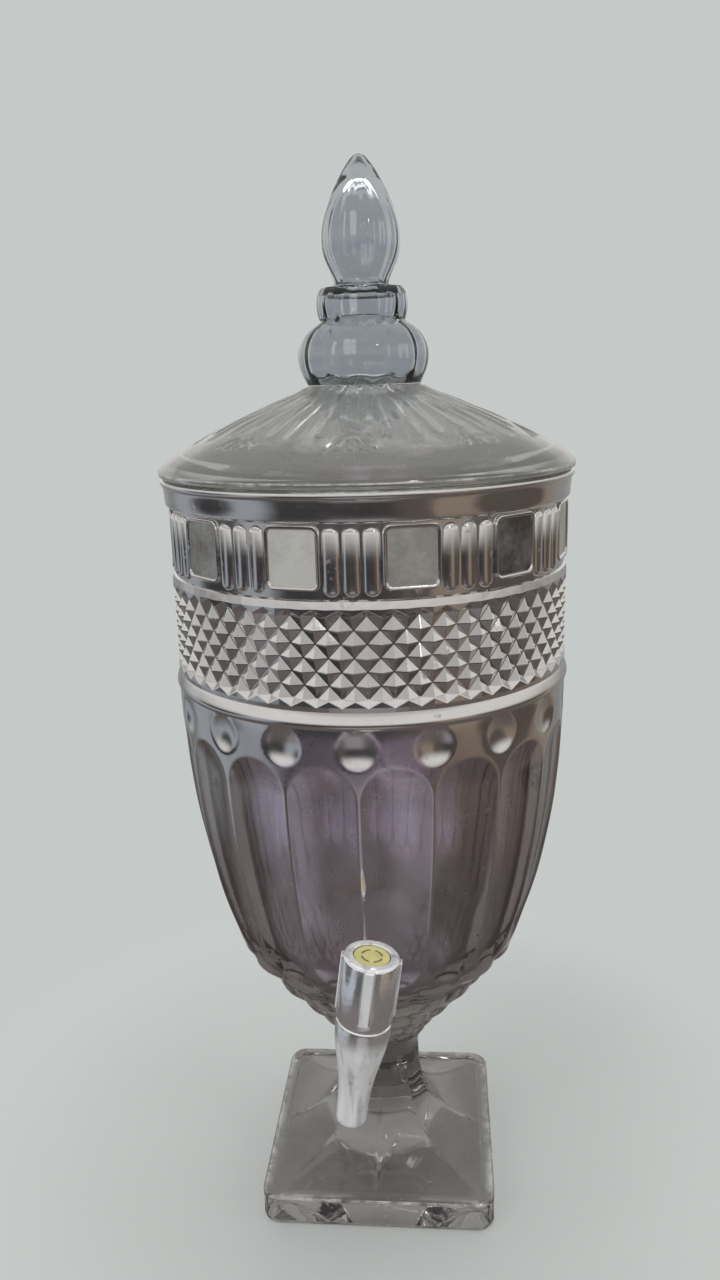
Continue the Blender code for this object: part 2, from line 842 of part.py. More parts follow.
def make_finial(material):
    """Make the hollow finial: bulb, bead and flame, open at its base."""
    outside = []
    base = finial_base_height
    for shares, radius, height in (
            (bulb_shares, bulb_radius, bulb_height),
            (bead_shares, bead_radius, bead_height),
            (flame_shares, flame_radius, flame_height)):
        outside += [(radius * spread, base + height * rise) for rise, spread in shares]
        base += height
    hollow_top = base - flame_height * (1 - hollow_top_share)
    inside = [(lid_opening_radius, outside[0][1])]
    for radius, height in outside[2::2]:
        if height < hollow_top - finial_wall:
            inside.append((radius - finial_wall, height))
    inside.append((0, hollow_top))
    add_node("finial", turned(outside[::-1] + inside, finial_steps), material)


def make_tap_body(material):
    """Make the tap's body: barrel, spout, flange and shank in one moulding."""
    band_foot = barrel_half_height - barrel_band_height
    profile = [(barrel_cavity_radius, barrel_half_height), (barrel_radius, barrel_half_height),
               (barrel_radius, band_foot)]
    for fall, taper in spout_shares:
        profile.append((mix(barrel_radius, spout_radius, taper), mix(band_foot, -spout_length, fall)))
    profile += [
        (spout_radius, spout_edge_bevel - spout_length),
        (spout_radius - spout_edge_bevel, -spout_length),
        (spout_bore_radius, -spout_length),
        (spout_bore_radius, -barrel_half_height),
        (barrel_cavity_radius, -barrel_half_height),
    ]
    body = add_node("tap_body", turned(profile, tap_steps, True), material, tap_place)
    start = mix(barrel_cavity_radius, barrel_radius, 0.1)
    shank = turned([
        (0, shank_end), (shank_radius - spout_edge_bevel, shank_end),
        (shank_radius, shank_end - spout_edge_bevel), (shank_radius, flange_face),
        (flange_radius, flange_face), (flange_radius, flange_face - flange_thickness),
        (shank_neck_radius, flange_face - flange_thickness), (shank_neck_radius, start), (0, start),
    ], tap_steps)
    shape(body, "shank", "UNION", to_bowl(shank))
    bore = cylinder(shank_bore_radius, 0, shank_end + cut_overrun, small_steps)
    shape(body, "shank_bore", "DIFFERENCE", to_bowl(bore))


def make_plug(material):
    """Make the turning valve plug with its port, its bore and its squared stem."""
    groove_radius = plug_radius - o_ring_thickness + running_gap
    half = o_ring_thickness / 2 + seat_gap / 2
    profile = [(0, stem_round_top), (stem_radius, stem_round_top), (stem_radius, plug_end),
               (plug_radius, plug_end)]
    for centre in (groove_offset, -groove_offset):
        profile += [(plug_radius, centre + half), (groove_radius, centre + half),
                    (groove_radius, centre - half), (plug_radius, centre - half)]
    profile += [(plug_radius, -plug_end), (0, -plug_end)]
    plug = add_node("tap_plug", turned(profile, tap_steps), material, tap_place)
    square_foot = stem_round_top - cut_overrun
    square = box((stem_square, stem_square, stem_top - square_foot),
                 (0, 0, (stem_top + square_foot) / 2))
    shape(plug, "stem_square", "UNION", square)
    bore = cylinder(plug_bore_radius, -plug_end - cut_overrun, plug_bore_radius, small_steps)
    shape(plug, "plug_bore", "DIFFERENCE", bore)
    port = to_bowl(cylinder(plug_port_radius, 0, plug_radius + cut_overrun, small_steps))
    port.transform(Matrix.Rotation(front, 4, "Z"))
    shape(plug, "plug_port", "DIFFERENCE", port)
    hole_radius = screw_radius + screw_hole_clearance
    hole = cylinder(hole_radius, stem_top - stem_hole_depth, stem_top + cut_overrun, tiny_steps)
    shape(plug, "stem_hole", "DIFFERENCE", hole)


def make_o_ring(name, centre, material):
    """Make one O-ring that lies in its groove on the plug."""
    minor = o_ring_thickness / 2 - running_gap
    major = barrel_cavity_radius - running_gap / 2 - minor
    profile = []
    for k in range(6):
        angle = -k * math.tau / 6
        profile.append((major + minor * math.cos(angle), centre + minor * math.sin(angle)))
    add_node(name, turned(profile, small_steps, True), material, tap_place)


def make_bonnet(material):
    """Make the notched bonnet ring that keeps the plug in the barrel."""
    inner = stem_radius + running_gap
    high = bonnet_base + bonnet_thickness
    ring = turned([
        (inner, high), (bonnet_radius - spout_edge_bevel, high),
        (bonnet_radius, high - spout_edge_bevel), (bonnet_radius, bonnet_base),
        (inner, bonnet_base),
    ], tap_steps, True)
    bonnet = add_node("tap_bonnet", ring, material, tap_place)
    notch = cylinder(bonnet_notch_radius, bonnet_base - cut_overrun, high + cut_overrun, tiny_steps)
    notch.transform(Matrix.Translation((bonnet_radius, 0, 0)))
    notches = spun(notch, bonnet_notches, math.pi / bonnet_notches)
    shape(bonnet, "bonnet_notches", "DIFFERENCE", notches)


def make_knob(material):
    """Make the hollow knob with its grip ribs, hub, square socket and disc recess."""
    hub_foot = stem_round_top + seat_gap
    plate_foot = knob_top - knob_plate
    inner = knob_radius - knob_wall
    shell = turned([
        (0, knob_top), (knob_radius - knob_edge_bevel, knob_top),
        (knob_radius, knob_top - knob_edge_bevel), (knob_radius, knob_bottom),
        (inner, knob_bottom), (inner, plate_foot), (knob_hub_radius, plate_foot),
        (knob_hub_radius, hub_foot), (0, hub_foot),
    ], tap_steps)
    knob = add_node("tap_knob", shell, material, tap_place)
    rib_foot = knob_bottom + knob_rib_foot_gap
    rib_head = knob_top - 2 * knob_edge_bevel
    rib = box((knob_rib_width, 2 * knob_rib_proud, rib_head - rib_foot),
              (0, -knob_radius, (rib_head + rib_foot) / 2))
    shape(knob, "knob_ribs", "UNION", spun(rib, knob_rib_count))
    recess_floor = knob_top - disc_sunk - disc_thickness - seat_gap
    recess = cylinder(disc_radius + seat_gap, recess_floor, knob_top + cut_overrun, tap_steps)
    shape(knob, "disc_recess", "DIFFERENCE", recess)
    head_radius = screw_head_radius + seat_gap
    hole_radius = screw_radius + screw_hole_clearance
    stepped = turned([
        (0, knob_top), (head_radius, knob_top), (head_radius, screw_seat - seat_gap),
        (hole_radius, screw_seat - seat_gap), (hole_radius, stem_top - cut_overrun),
        (0, stem_top - cut_overrun),
    ], tiny_steps)
    shape(knob, "screw_hole", "DIFFERENCE", stepped)
    side = stem_square + 2 * seat_gap
    socket_top = stem_top + seat_gap
    socket_foot = hub_foot - cut_overrun
    socket = box((side, side, socket_top - socket_foot), (0, 0, (socket_top + socket_foot) / 2))
    shape(knob, "knob_socket", "DIFFERENCE", socket)


def make_disc(material):
    """Make the insert disc of the knob, with a plain ring pressed in it."""
    high = knob_top - disc_sunk
    low = high - disc_thickness
    mark_inner = disc_mark_radius - disc_mark_width
    profile = [
        (0, high), (mark_inner, high), (mark_inner, high - disc_mark_depth),
        (disc_mark_radius, high - disc_mark_depth), (disc_mark_radius, high),
        (disc_radius, high), (disc_radius, low), (0, low),
    ]
    add_node("knob_disc", turned(profile, tap_steps), material, tap_place)


def make_screw(material):
    """Make the slotted screw that holds the knob on the stem."""
    head_top = screw_seat + screw_head_height
    tip = screw_seat - screw_length
    profile = [
        (0, head_top), (screw_head_radius, head_top), (screw_head_radius, screw_seat),
        (screw_radius, screw_seat), (screw_radius, tip), (0, tip),
    ]
    screw = add_node("knob_screw", turned(profile, tiny_steps), material, tap_place)
    slot_size = (3 * screw_head_radius, screw_slot_width, 2 * screw_slot_depth)
    shape(screw, "screw_slot", "DIFFERENCE", box(slot_size, (0, 0, head_top)))


def make_gasket(name, near, material):
    """Make one flat gasket on the shank, its near face as far from the barrel as given."""
    inner = shank_radius + running_gap
    far = near + gasket_thickness
    ring = turned([(inner, far), (gasket_radius, far), (gasket_radius, near), (inner, near)],
                  tap_steps, True)
    add_node(name, to_bowl(ring), material, tap_place)


def make_nut(material):
    """Make the hexagon nut that clamps the shank inside the bowl."""
    near = flange_face + clamped_length
    block = cylinder(nut_width / math.sqrt(3), near, near + nut_thickness, 6)
    nut = add_node("lock_nut", to_bowl(block), material, tap_place)
    hole = cylinder(shank_radius + running_gap, near - cut_overrun,
                    near + nut_thickness + cut_overrun, tap_steps)
    shape(nut, "nut_hole", "DIFFERENCE", to_bowl(hole))


clear_scene()
part = make_collection("glass_drink_dispenser")
cutters = make_collection("cutters")
lustre = make_material("silver_lustre_glass", (0.33, 0.31, 0.31), 0.06, 0.75, 0.2)
smoke = make_material("smoke_glass", (0.34, 0.33, 0.33), 0.04, 0.0, 0.9)
lid_smoke = make_material("lid_smoke_glass", (0.45, 0.46, 0.47), 0.04, 0.0, 0.9)
chrome = make_material("plated_plastic", (0.85, 0.86, 0.87), 0.08, 1.0)
yellow = make_material("pale_yellow_plastic", (0.80, 0.75, 0.38), 0.35, 0.0)
white = make_material("white_plastic", (0.85, 0.85, 0.83), 0.40, 0.0)
silicone = make_material("clear_silicone", (0.80, 0.82, 0.82), 0.50, 0.0)
rubber = make_material("black_rubber", (0.03, 0.03, 0.03), 0.60, 0.0)
steel = make_material("screw_steel", (0.60, 0.60, 0.60), 0.30, 1.0)

tap_place = tap_frame()
make_bowl(lustre)
make_foot(smoke)
make_lid(lid_smoke)
make_finial(lid_smoke)
make_tap_body(chrome)
make_plug(white)
make_o_ring("plug_o_ring_upper", groove_offset, rubber)
make_o_ring("plug_o_ring_lower", -groove_offset, rubber)
make_bonnet(white)
make_knob(chrome)
make_disc(yellow)
make_screw(steel)
make_gasket("outer_gasket", flange_face + seat_gap, silicone)
make_gasket("inner_gasket", flange_face + clamped_length - seat_gap - gasket_thickness, silicone)
make_nut(white)
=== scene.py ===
"""Looks of a footed glass drink dispenser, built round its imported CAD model.

The bowl is pressed glass under a silver lustre: a plain neck, a band of framed panels and
reeds, a band of pointed diamonds, a roll, a row of dimples, arched flutes and scalloped
tiers. The foot, lid and finial are clear smoke glass, and the tap is plated plastic.
Metres, +Z up. The tap faces -Y.
"""

import logging
import math
from collections.abc import Callable, Sequence
from dataclasses import dataclass
from enum import Enum

import bmesh
import bpy
import numpy as np
from mathutils import Matrix, Vector


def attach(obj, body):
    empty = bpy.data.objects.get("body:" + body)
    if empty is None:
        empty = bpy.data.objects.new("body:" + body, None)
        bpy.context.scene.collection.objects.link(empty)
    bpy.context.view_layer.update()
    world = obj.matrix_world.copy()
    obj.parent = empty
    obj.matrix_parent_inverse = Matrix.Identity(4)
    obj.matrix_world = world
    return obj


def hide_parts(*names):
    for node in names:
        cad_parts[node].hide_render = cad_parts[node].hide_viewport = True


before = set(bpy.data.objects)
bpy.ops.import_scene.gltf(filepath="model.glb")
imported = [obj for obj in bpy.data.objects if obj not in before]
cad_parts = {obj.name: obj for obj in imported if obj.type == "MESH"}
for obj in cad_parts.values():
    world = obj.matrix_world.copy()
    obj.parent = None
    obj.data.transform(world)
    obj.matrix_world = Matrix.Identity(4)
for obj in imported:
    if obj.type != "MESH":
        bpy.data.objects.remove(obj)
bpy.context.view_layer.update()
log = logging.getLogger("dispenser")

Profile = Sequence[tuple[float, float]]
Colour = tuple[float, float, float]
MERGE = 0.000002  # How close together points are when they are merged
NEAR = 0.0001  # How close to a place a point is when it is picked
OVERRUN = 0.002  # How far a cutter reaches past what it cuts
FRONT = -math.pi / 2
GLASS_INDEX = 1.5
WAVE_DEPTH = 0.004


class Slot(Enum):
    """Names of material slots; nothing in this script uses them."""

    LUSTRE = "silver_lustre_glass"
    SMOKE = "smoke_glass"
    LID = "lid_smoke_glass"
    PLATED = "plated_plastic"
    YELLOW = "pale_yellow_plastic"


class Body(Enum):
    """The bodies of the frame that the pieces ride on."""

    BASE = "base"
    LID = "lid"
    KNOB = "knob"


class Cut(Enum):
    """What a second shape does to a piece."""

    JOIN = "UNION"
    CARVE = "DIFFERENCE"


# Shader maths


def _maths(operation: str, turned: bool = False) -> Callable[["Value", "Value | float"], "Value"]:
    """Return a method that works two values out with one Math node.

    Args:
        operation: The node's operation.
        turned: Whether the other value comes first.

    Returns:
        The method.
    """
    def method(value: "Value", other: "Value | float") -> "Value":
        """Add the Math node and return its result.

        Args:
            value: The value that the method belongs to.
            other: The second value.

        Returns:
            The result.
        """
        first, second = (other, value) if turned else (value, other)
        node = value.recipe.add("ShaderNodeMath", {"operation": operation}, {0: first, 1: second})
        return Value(value.recipe, node.outputs[0])

    return method


class Value:
    """A shader socket that Python's operators work on."""

    __add__ = _maths("ADD")
    __radd__ = _maths("ADD", turned=True)
    __sub__ = _maths("SUBTRACT")
    __rsub__ = _maths("SUBTRACT", turned=True)
    __mul__ = _maths("MULTIPLY")
    __rmul__ = _maths("MULTIPLY", turned=True)
    __pow__ = _maths("POWER")
    larger = _maths("MAXIMUM")
    smaller = _maths("MINIMUM")
    _absolute = _maths("ABSOLUTE")

    def __init__(self, recipe: "Recipe", socket: bpy.types.NodeSocket) -> None:
        """Keep the socket and the recipe that it belongs to."""
        self.recipe = recipe
        self.socket = socket

    def size(self) -> "Value":
        """Return the value without its sign."""
        return self._absolute(0.0)


class Recipe:
    """The node tree of one finish, with one method that adds every node."""

    def __init__(self, tree: bpy.types.NodeTree) -> None:
        """Keep the tree that the nodes go into."""
        self.tree = tree

    def add(self, kind: str, settings: dict | None = None, values: dict | None = None) -> bpy.types.Node:
        """Add one node.

        Args:
            kind: The node's type.
            settings: The node's own settings, set first.
            values: Numbers, colours or links for its input sockets, by name or place.

        Returns:
            The new node.
        """
        node = self.tree.nodes.new(kind)
        for name, setting in (settings or {}).items():
            setattr(node, name, setting)
        self.fill(node, values or {})
        return node

    def fill(self, node: bpy.types.Node, values: dict) -> None:
        """Give some of a node's input sockets a link or a plain number or colour.

        Args:
            node: The node.
            values: A number, colour or link by a socket's name or place.
        """
        for name, value in values.items():
            socket = node.inputs[name]
            if isinstance(value, Value):
                self.tree.links.new(value.socket, socket)
            elif isinstance(value, bpy.types.NodeSocket):
                self.tree.links.new(value, socket)
            else:
                socket.default_value = value

    def point(self, scale: tuple[float, float, float] = (1, 1, 1)) -> bpy.types.NodeSocket:
        """Return the point on the object, stretched along its axes.

        Args:
            scale: The stretch along x, y and z.

        Returns:
            The point's socket.
        """
        coordinates = self.add("ShaderNodeTexCoord")
        mapping = self.add("ShaderNodeMapping", {"vector_type": "POINT"},
                           {"Vector": coordinates.outputs["Object"], "Scale": scale})
        return mapping.outputs["Vector"]

    def axes(self, system: str = "Object") -> tuple[Value, Value, Value]:
        """Return the point's x, y and z on the object, or in another system of coordinates.

        Args:
            system: The output of the Texture Coordinate node that is read.

        Returns:
            The three values.
        """
        coordinates = self.add("ShaderNodeTexCoord")
        split = self.add("ShaderNodeSeparateXYZ", {}, {"Vector": coordinates.outputs[system]})
        return tuple(Value(self, socket) for socket in split.outputs)

    def noise(self, scale: float, detail: float = 3.0, roughness: float = 0.55,
              stretch: tuple[float, float, float] = (1, 1, 1)) -> Value:
        """Return a cloudy pattern between 0 and 1.

        Args:
            scale: How many clouds there are to a metre, about.
            detail: How many finer layers are added.
            roughness: How strong the finer layers are.
            stretch: The stretch along x, y and z.

        Returns:
            The pattern.
        """
        node = self.add("ShaderNodeTexNoise", {}, {
            "Vector": self.point(stretch), "Scale": scale, "Detail": detail, "Roughness": roughness})
        return Value(self, node.outputs["Fac"])

    def specks(self, scale: float) -> Value:
        """Return the distance to the nearest of many scattered points."""
        node = self.add("ShaderNodeTexVoronoi", {"feature": "F1"}, {"Vector": self.point(), "Scale": scale})
        return Value(self, node.outputs["Distance"])

    def painted(self, name: str) -> Value:
        """Return a number painted on the piece's points."""
        node = self.add("ShaderNodeAttribute", {"attribute_name": name})
        return Value(self, node.outputs["Fac"])

    def ease(self, value: Value, low: float, high: float) -> Value:
        """Return 0 at the low value and 1 at the high one, with eased ends.

        Args:
            value: What is eased.
            low: Where the result is 0.
            high: Where it is 1.

        Returns:
            The eased value.
        """
        node = self.add("ShaderNodeMapRange", {"interpolation_type": "SMOOTHSTEP"},
                        {"Value": value, "From Min": low, "From Max": high})
        return Value(self, node.outputs["Result"])

    def between(self, value: Value, *stops: float) -> Value:
        """Return 1 between the two middle ones of four stops and 0 beyond the outer ones."""
        return self.ease(value, *stops[:2]) * (1.0 - self.ease(value, *stops[2:]))

    def blend(self, share: Value | float, first: object, second: object) -> Value:
        """Mix two colours by a share.

        Args:
            share: How much of the second colour there is.
            first: A colour or a link.
            second: A colour or a link.

        Returns:
            The mixed colour.
        """
        first, second = (
            (*colour, 1.0) if isinstance(colour, tuple) else colour for colour in (first, second))
        node = self.add("ShaderNodeMix", {"data_type": "RGBA"}, {0: share, 6: first, 7: second})
        return Value(self, node.outputs[2])

    def relief(self, height: Value, strength: float, distance: float) -> Value:
        """Turn a height pattern into a bumped normal."""
        node = self.add("ShaderNodeBump", {}, {"Height": height, "Strength": strength, "Distance": distance})
        return Value(self, node.outputs["Normal"])

    def see_through(self, share: object, shader: bpy.types.Node, colour: tuple[float, ...]) -> None:
        """Let a share of the rays through a shader, and make the mix the material's surface.

        Args:
            share: How many rays pass, a number between 0 and 1 or a link.
            shader: What the other rays meet.
            colour: What the rays that pass are tinted with.
        """
        clear = self.add("ShaderNodeBsdfTransparent", {}, {"Color": colour})
        mixed = self.add("ShaderNodeMixShader", {}, {0: share, 1: shader.outputs[0], 2: clear.outputs[0]})
        self.fill(self.tree.nodes["Material Output"], {"Surface": mixed.outputs[0]})


@dataclass(frozen=True)
class Finish:
    """What every finish has: a name and a Principled shader to dress."""

    name: str

    def build(self) -> bpy.types.Material:
        """Make the finish's material.

        Returns:
            The new material.
        """
        material = bpy.data.materials.new(self.name)
        material.use_nodes = True
        shader = material.node_tree.nodes["Principled BSDF"]
        self.dress(Recipe(material.node_tree), shader)
        return material

    def dress(self, recipe: Recipe, shader: bpy.types.Node) -> None:
        """Set and link the shader's sockets. Each finish has its own way."""
        raise NotImplementedError

    def let_light_in(self, recipe: Recipe, shader: bpy.types.Node, share: float) -> None:
        """Let a share of the lamps' light pass, so that what stands behind the glass is lit."""
        path = recipe.add("ShaderNodeLightPath")
        recipe.see_through(path.outputs["Is Shadow Ray"], shader, (share, share, share, 1.0))


@dataclass(frozen=True)
class SmokeGlass(Finish):
    """Clear pressed glass with a grey tint, faint waves, smears and specks.

    The painted number "edge" is 1 along edges that carry a painted highlight: a bright, near-white metallic
    line in broken patches, roughened like wear.
    """

    tint: Colour = (0.80, 0.82, 0.85)
    roughness: float = 0.025
    smear: float = 0.09
    wave: float = 0.10
    haze: float = 0.0
    highlit_edges: bool = False
    edge_roughness: float = 0.0
    edge_highlight_colour: Colour = (0.92, 0.92, 0.91)
    thick: Colour | None = None
    thick_from: float = 0.020
    thick_to: float = 0.050

    def dress(self, recipe: Recipe, shader: bpy.types.Node) -> None:
        """Set the glass, its smears and its moulded waves.

        Args:
            recipe: The finish's node tree.
            shader: Its Principled shader.
        """
        recipe.fill(shader, {"Transmission Weight": 1.0 - self.haze, "IOR": GLASS_INDEX})
        smears = recipe.ease(recipe.noise(28.0, 4.0), 0.48, 0.72)
        dust = 1.0 - recipe.ease(recipe.specks(420.0), 0.05, 0.13)
        gritty = dust * recipe.ease(recipe.noise(60.0, 2.0), 0.52, 0.62)
        dull = self.roughness + smears * self.smear + gritty * 0.3
        darker = tuple(0.93 * channel for channel in self.tint)
        colour = recipe.blend(smears * 0.7, self.tint, darker)
        if self.thick:
            _, _, height = recipe.axes()
            colour = recipe.blend(recipe.ease(height, self.thick_from, self.thick_to), colour, self.thick)
        if self.highlit_edges:
            # Painted highlight: bright near-white metallic lines along the painted edges, in broken patches,
            # with some roughening like wear.
            patches = recipe.ease(recipe.noise(95.0, 4.0, 0.7), 0.36, 0.62)
            worn = recipe.painted("edge") * (0.15 + patches * 0.55)
            dull = dull + worn * self.edge_roughness
            recipe.fill(shader, {"Metallic": worn})
            colour = recipe.blend(worn, colour, self.edge_highlight_colour)
        waves = recipe.noise(36.0, 2.0, 0.4) + recipe.noise(170.0, 2.0) * 0.12
        recipe.fill(shader, {"Roughness": dull, "Base Color": colour,
                             "Normal": recipe.relief(waves, self.wave, WAVE_DEPTH)})
        self.let_light_in(recipe, shader, 0.80)


@dataclass(frozen=True)
class LustreGlass(Finish):
    """Smoke glass under a silver lustre that thins out down the flutes.

    Three numbers are painted on the bowl. "lustre" is 1 on the coated outside and 0 on the
    bare inside, "hollow" is 1 at the bottom of a flute and 0 on the lands between them, and
    "bright" is 1 in the dimples.
    """

    silver: Colour = (0.70, 0.69, 0.675)
    violet: Colour = (0.73, 0.685, 0.80)
    brown: Colour = (0.58, 0.52, 0.49)
    glass: Colour = (0.78, 0.70, 0.79)
    low_glass: Colour = (0.30, 0.265, 0.245)
    worn_silver: Colour = (0.66, 0.64, 0.61)
    band_foot: float = 0.2915
    flute_head: float = 0.2855
    ledge: float = 0.1560

    def dress(self, recipe: Recipe, shader: bpy.types.Node) -> None:
        """Set the glass and lay the lustre on it by height and relief.

        Args:
            recipe: The finish's node tree.
            shader: Its Principled shader.
        """
        recipe.fill(shader, {"Transmission Weight": 1.0, "IOR": GLASS_INDEX})
        x, _, height = recipe.axes()
        coated = recipe.painted("lustre")
        hollow = recipe.painted("hollow")
        patchy = recipe.noise(22.0, 4.0)
        fine = recipe.noise(240.0, 3.0)
        bands = recipe.ease(height, self.flute_head, self.band_foot)
        side = recipe.ease(height, self.ledge - 0.022, self.ledge + 0.012)
        # Painted by place: near x = 0, on front and back alike, the lands of the open field above the flutes
        # carry less silver, and away from x = 0 the tint turns browner and darker. This is partly the
        # lustre's own tone and partly painted reflection and shade.
        middle = 1.0 - recipe.ease(x.size(), 0.026, 0.060)
        field = recipe.ease(height, 0.262, 0.274) * middle
        lands = (1.0 - recipe.ease(hollow, 0.0, 0.14)) * (1.0 - field * 0.80)
        thin = 0.20 + side * 0.22 + lands * side * 0.52 + (patchy - 0.5) * 0.22
        full = bands.larger(recipe.painted("bright"))
        cover = thin + (0.95 - thin) * full
        rubbed = recipe.ease(recipe.noise(75.0, 5.0, 0.7), 0.60, 0.67) * recipe.ease(patchy, 0.47, 0.57)
        metal = coated * (cover - rubbed * 0.16)
        glass = recipe.blend(side, self.low_glass, self.glass)
        worn = recipe.blend(rubbed * 0.6, self.silver, self.worn_silver)
        # The film turns browner towards the bottom, at random, and away from x = 0, where it is partly
        # painted reflection. The glass darkens with it.
        hue = recipe.ease(recipe.noise(16.0, 2.0) + (1.0 - side) * 0.3 + (1.0 - middle) * 0.30, 0.50, 0.70)
        film = recipe.blend(hue, self.violet, self.brown)
        film = recipe.blend(full.larger(lands * 0.85), film, worn)
        glass = recipe.blend(hue * 0.75, glass, self.low_glass)
        satin = bands * 0.05 + recipe.painted("bright") * 0.10
        waves = recipe.noise(42.0, 2.0, 0.4) * (1.0 - bands * 0.75) + fine * 0.03
        recipe.fill(shader, {
            "Metallic": metal.larger(0.0).smaller(1.0),
            "Base Color": recipe.blend((cover * coated).smaller(1.0), glass, film),
            "Roughness": 0.05 + satin + recipe.ease(fine, 0.42, 0.75) * 0.08 * coated + rubbed * 0.42,
            "Normal": recipe.relief(waves, 0.10, WAVE_DEPTH)})
        self.let_light_in(recipe, shader, 0.60)


@dataclass(frozen=True)
class SatinPanel(Finish):
    """Etched satin silver of the framed panels, painted per panel with tarnish and with painted shade and
    sheen.
    """

    satin: Colour = (0.70, 0.685, 0.65)
    dark: Colour = (0.075, 0.068, 0.062)

    def dress(self, recipe: Recipe, shader: bpy.types.Node) -> None:
        """Set the satin, its fine mottle and its stains.

        Args:
            recipe: The finish's node tree.
            shader: Its Principled shader.
        """
        mottle = recipe.noise(380.0, 4.0, 0.7)
        stains = recipe.noise(48.0, 4.0, 0.65)
        # The number painted per panel is partly tarnish and partly painted shade and sheen: the panels round
        # the front are lighter or darker by how they face the light. The stains and mottle are the satin's
        # own.
        share = recipe.painted("tarnish_and_shade") + (stains - 0.5) * 0.9 + (mottle - 0.5) * 0.30
        recipe.fill(shader, {
            "Base Color": recipe.blend(share.larger(0.0).smaller(1.0), self.satin, self.dark),
            "Metallic": 0.6,
            "Roughness": 0.26 + mottle * 0.22,
            "Normal": recipe.relief(mottle, 0.16, 0.0008)})


@dataclass(frozen=True)
class Plating(Finish):
    """Bright plating on plastic, with a faint orange peel, pits and dried drops.

    The painted number "satin" is 1 where the plating has gone milky.
    """

    colour: Colour = (0.88, 0.88, 0.89)
    roughness: float = 0.07

    def dress(self, recipe: Recipe, shader: bpy.types.Node) -> None:
        """Set the plating and where it has dulled.

        Args:
            recipe: The finish's node tree.
            shader: Its Principled shader.
        """
        satin = recipe.painted("satin")
        pits = 1.0 - recipe.ease(recipe.specks(520.0), 0.06, 0.16)
        spots = pits * recipe.ease(recipe.noise(210.0, 2.0), 0.55, 0.62)
        drops = 1.0 - recipe.ease(recipe.specks(170.0), 0.14, 0.20)
        drops = drops * recipe.ease(recipe.noise(95.0, 1.0), 0.50, 0.53) * satin
        film = recipe.ease(recipe.noise(160.0, 4.0), 0.45, 0.75)
        streaks = recipe.ease(recipe.noise(230.0, 3.0, 0.6, (1, 1, 0.12)), 0.50, 0.66) * satin
        dulled = tuple(0.55 * channel for channel in self.colour)
        worn = film * 0.2 + spots * 0.5 + drops * 0.7 + streaks * 0.6
        peel = recipe.noise(330.0, 2.0) * 0.4 + recipe.noise(90.0, 2.0)
        recipe.fill(shader, {
            "Metallic": 0.92 - satin * 0.48,
            "Roughness": self.roughness + film * 0.10 + spots * 0.3 + satin * 0.12,
            "Base Color": recipe.blend(worn.smaller(1.0), self.colour, dulled),
            "Normal": recipe.relief(peel - spots * 0.4 + drops * 0.3, 0.14, 0.002)})


@dataclass(frozen=True)
class MouldedPlastic(Finish):
    """Plain moulded plastic or rubber with a fine grain and a little grime.

    Where it has an ink, the painted number "mark" says where that is printed.
    """

    colour: Colour = (0.70, 0.64, 0.20)
    roughness: float = 0.42
    grime: float = 0.35
    grain: float = 500.0
    ink: Colour | None = None

    def dress(self, recipe: Recipe, shader: bpy.types.Node) -> None:
        """Set the plastic's colour, grain and grime.

        Args:
            recipe: The finish's node tree.
            shader: Its Principled shader.
        """
        cloud = recipe.ease(recipe.noise(self.grain * 0.35, 4.0, 0.65), 0.42, 0.70)
        dirty = tuple(0.62 * channel for channel in self.colour)
        colour = recipe.blend(cloud * self.grime, self.colour, dirty)
        if self.ink:
            colour = recipe.blend(recipe.painted("mark") * 0.85, colour, self.ink)
        recipe.fill(shader, {
            "Base Color": colour,
            "Roughness": self.roughness + cloud * 0.16,
            "Normal": recipe.relief(recipe.noise(self.grain, 2.0), 0.15, 0.0006)})


# Modelling by hand, one operator at a time


def rest() -> None:
    """Go back to object mode with nothing selected."""
    if bpy.context.mode != "OBJECT":
        bpy.ops.object.mode_set(mode="OBJECT")
    bpy.ops.object.select_all(action="DESELECT")


def take(*pieces: bpy.types.Object) -> None:
    """Select only these objects, and make the first one active.

    Args:
        pieces: The objects.
    """
    rest()
    for piece in pieces:
        piece.select_set(True)
    bpy.context.view_layer.objects.active = pieces[0]


def begin(primitive: Callable, **sizes: object) -> bpy.types.Object:
    """Add one of Blender's own shapes at the origin.

    Args:
        primitive: The operator that adds it.
        sizes: What the operator takes.

    Returns:
        The new object.
    """
    rest()
    primitive(location=(0, 0, 0), **sizes)
    return bpy.context.object


def edit(piece: bpy.types.Object, element: str = "VERT") -> None:
    """Open an object in edit mode with nothing selected.

    Args:
        piece: The object.
        element: "VERT", "EDGE" or "FACE".
    """
    take(piece)
    bpy.ops.object.mode_set(mode="EDIT")
    pick_mode(element)


def pick(piece: bpy.types.Object, test: Callable[[Vector], bool], element: str = "verts") -> None:
    """Select what passes a test, in edit mode.

    Args:
        piece: The object in edit mode.
        test: Takes a point's place, or the middle of an edge or face.
        element: "verts", "edges" or "faces".
    """
    form = bmesh.from_edit_mesh(piece.data)
    for part in getattr(form, element):
        if element == "verts":
            middle = part.co
        else:
            middle = sum((point.co for point in part.verts), Vector()) / len(part.verts)
        if test(middle):
            part.select_set(True)
    form.select_flush_mode()
    bmesh.update_edit_mesh(piece.data)


def pick_mode(element: str) -> None:
    """Go on with points, edges or faces, with nothing selected."""
    bpy.ops.mesh.select_mode(type=element)
    pick_none()


def pick_all() -> None:
    """Select the whole mesh, in edit mode."""
    bpy.ops.mesh.select_all(action="SELECT")


def pick_none() -> None:
    """Select nothing, in edit mode."""
    bpy.ops.mesh.select_all(action="DESELECT")


def push(offset: tuple[float, float, float]) -> None:
    """Extrude what is selected by an offset."""
    bpy.ops.mesh.extrude_region_move(TRANSFORM_OT_translate={"value": offset})


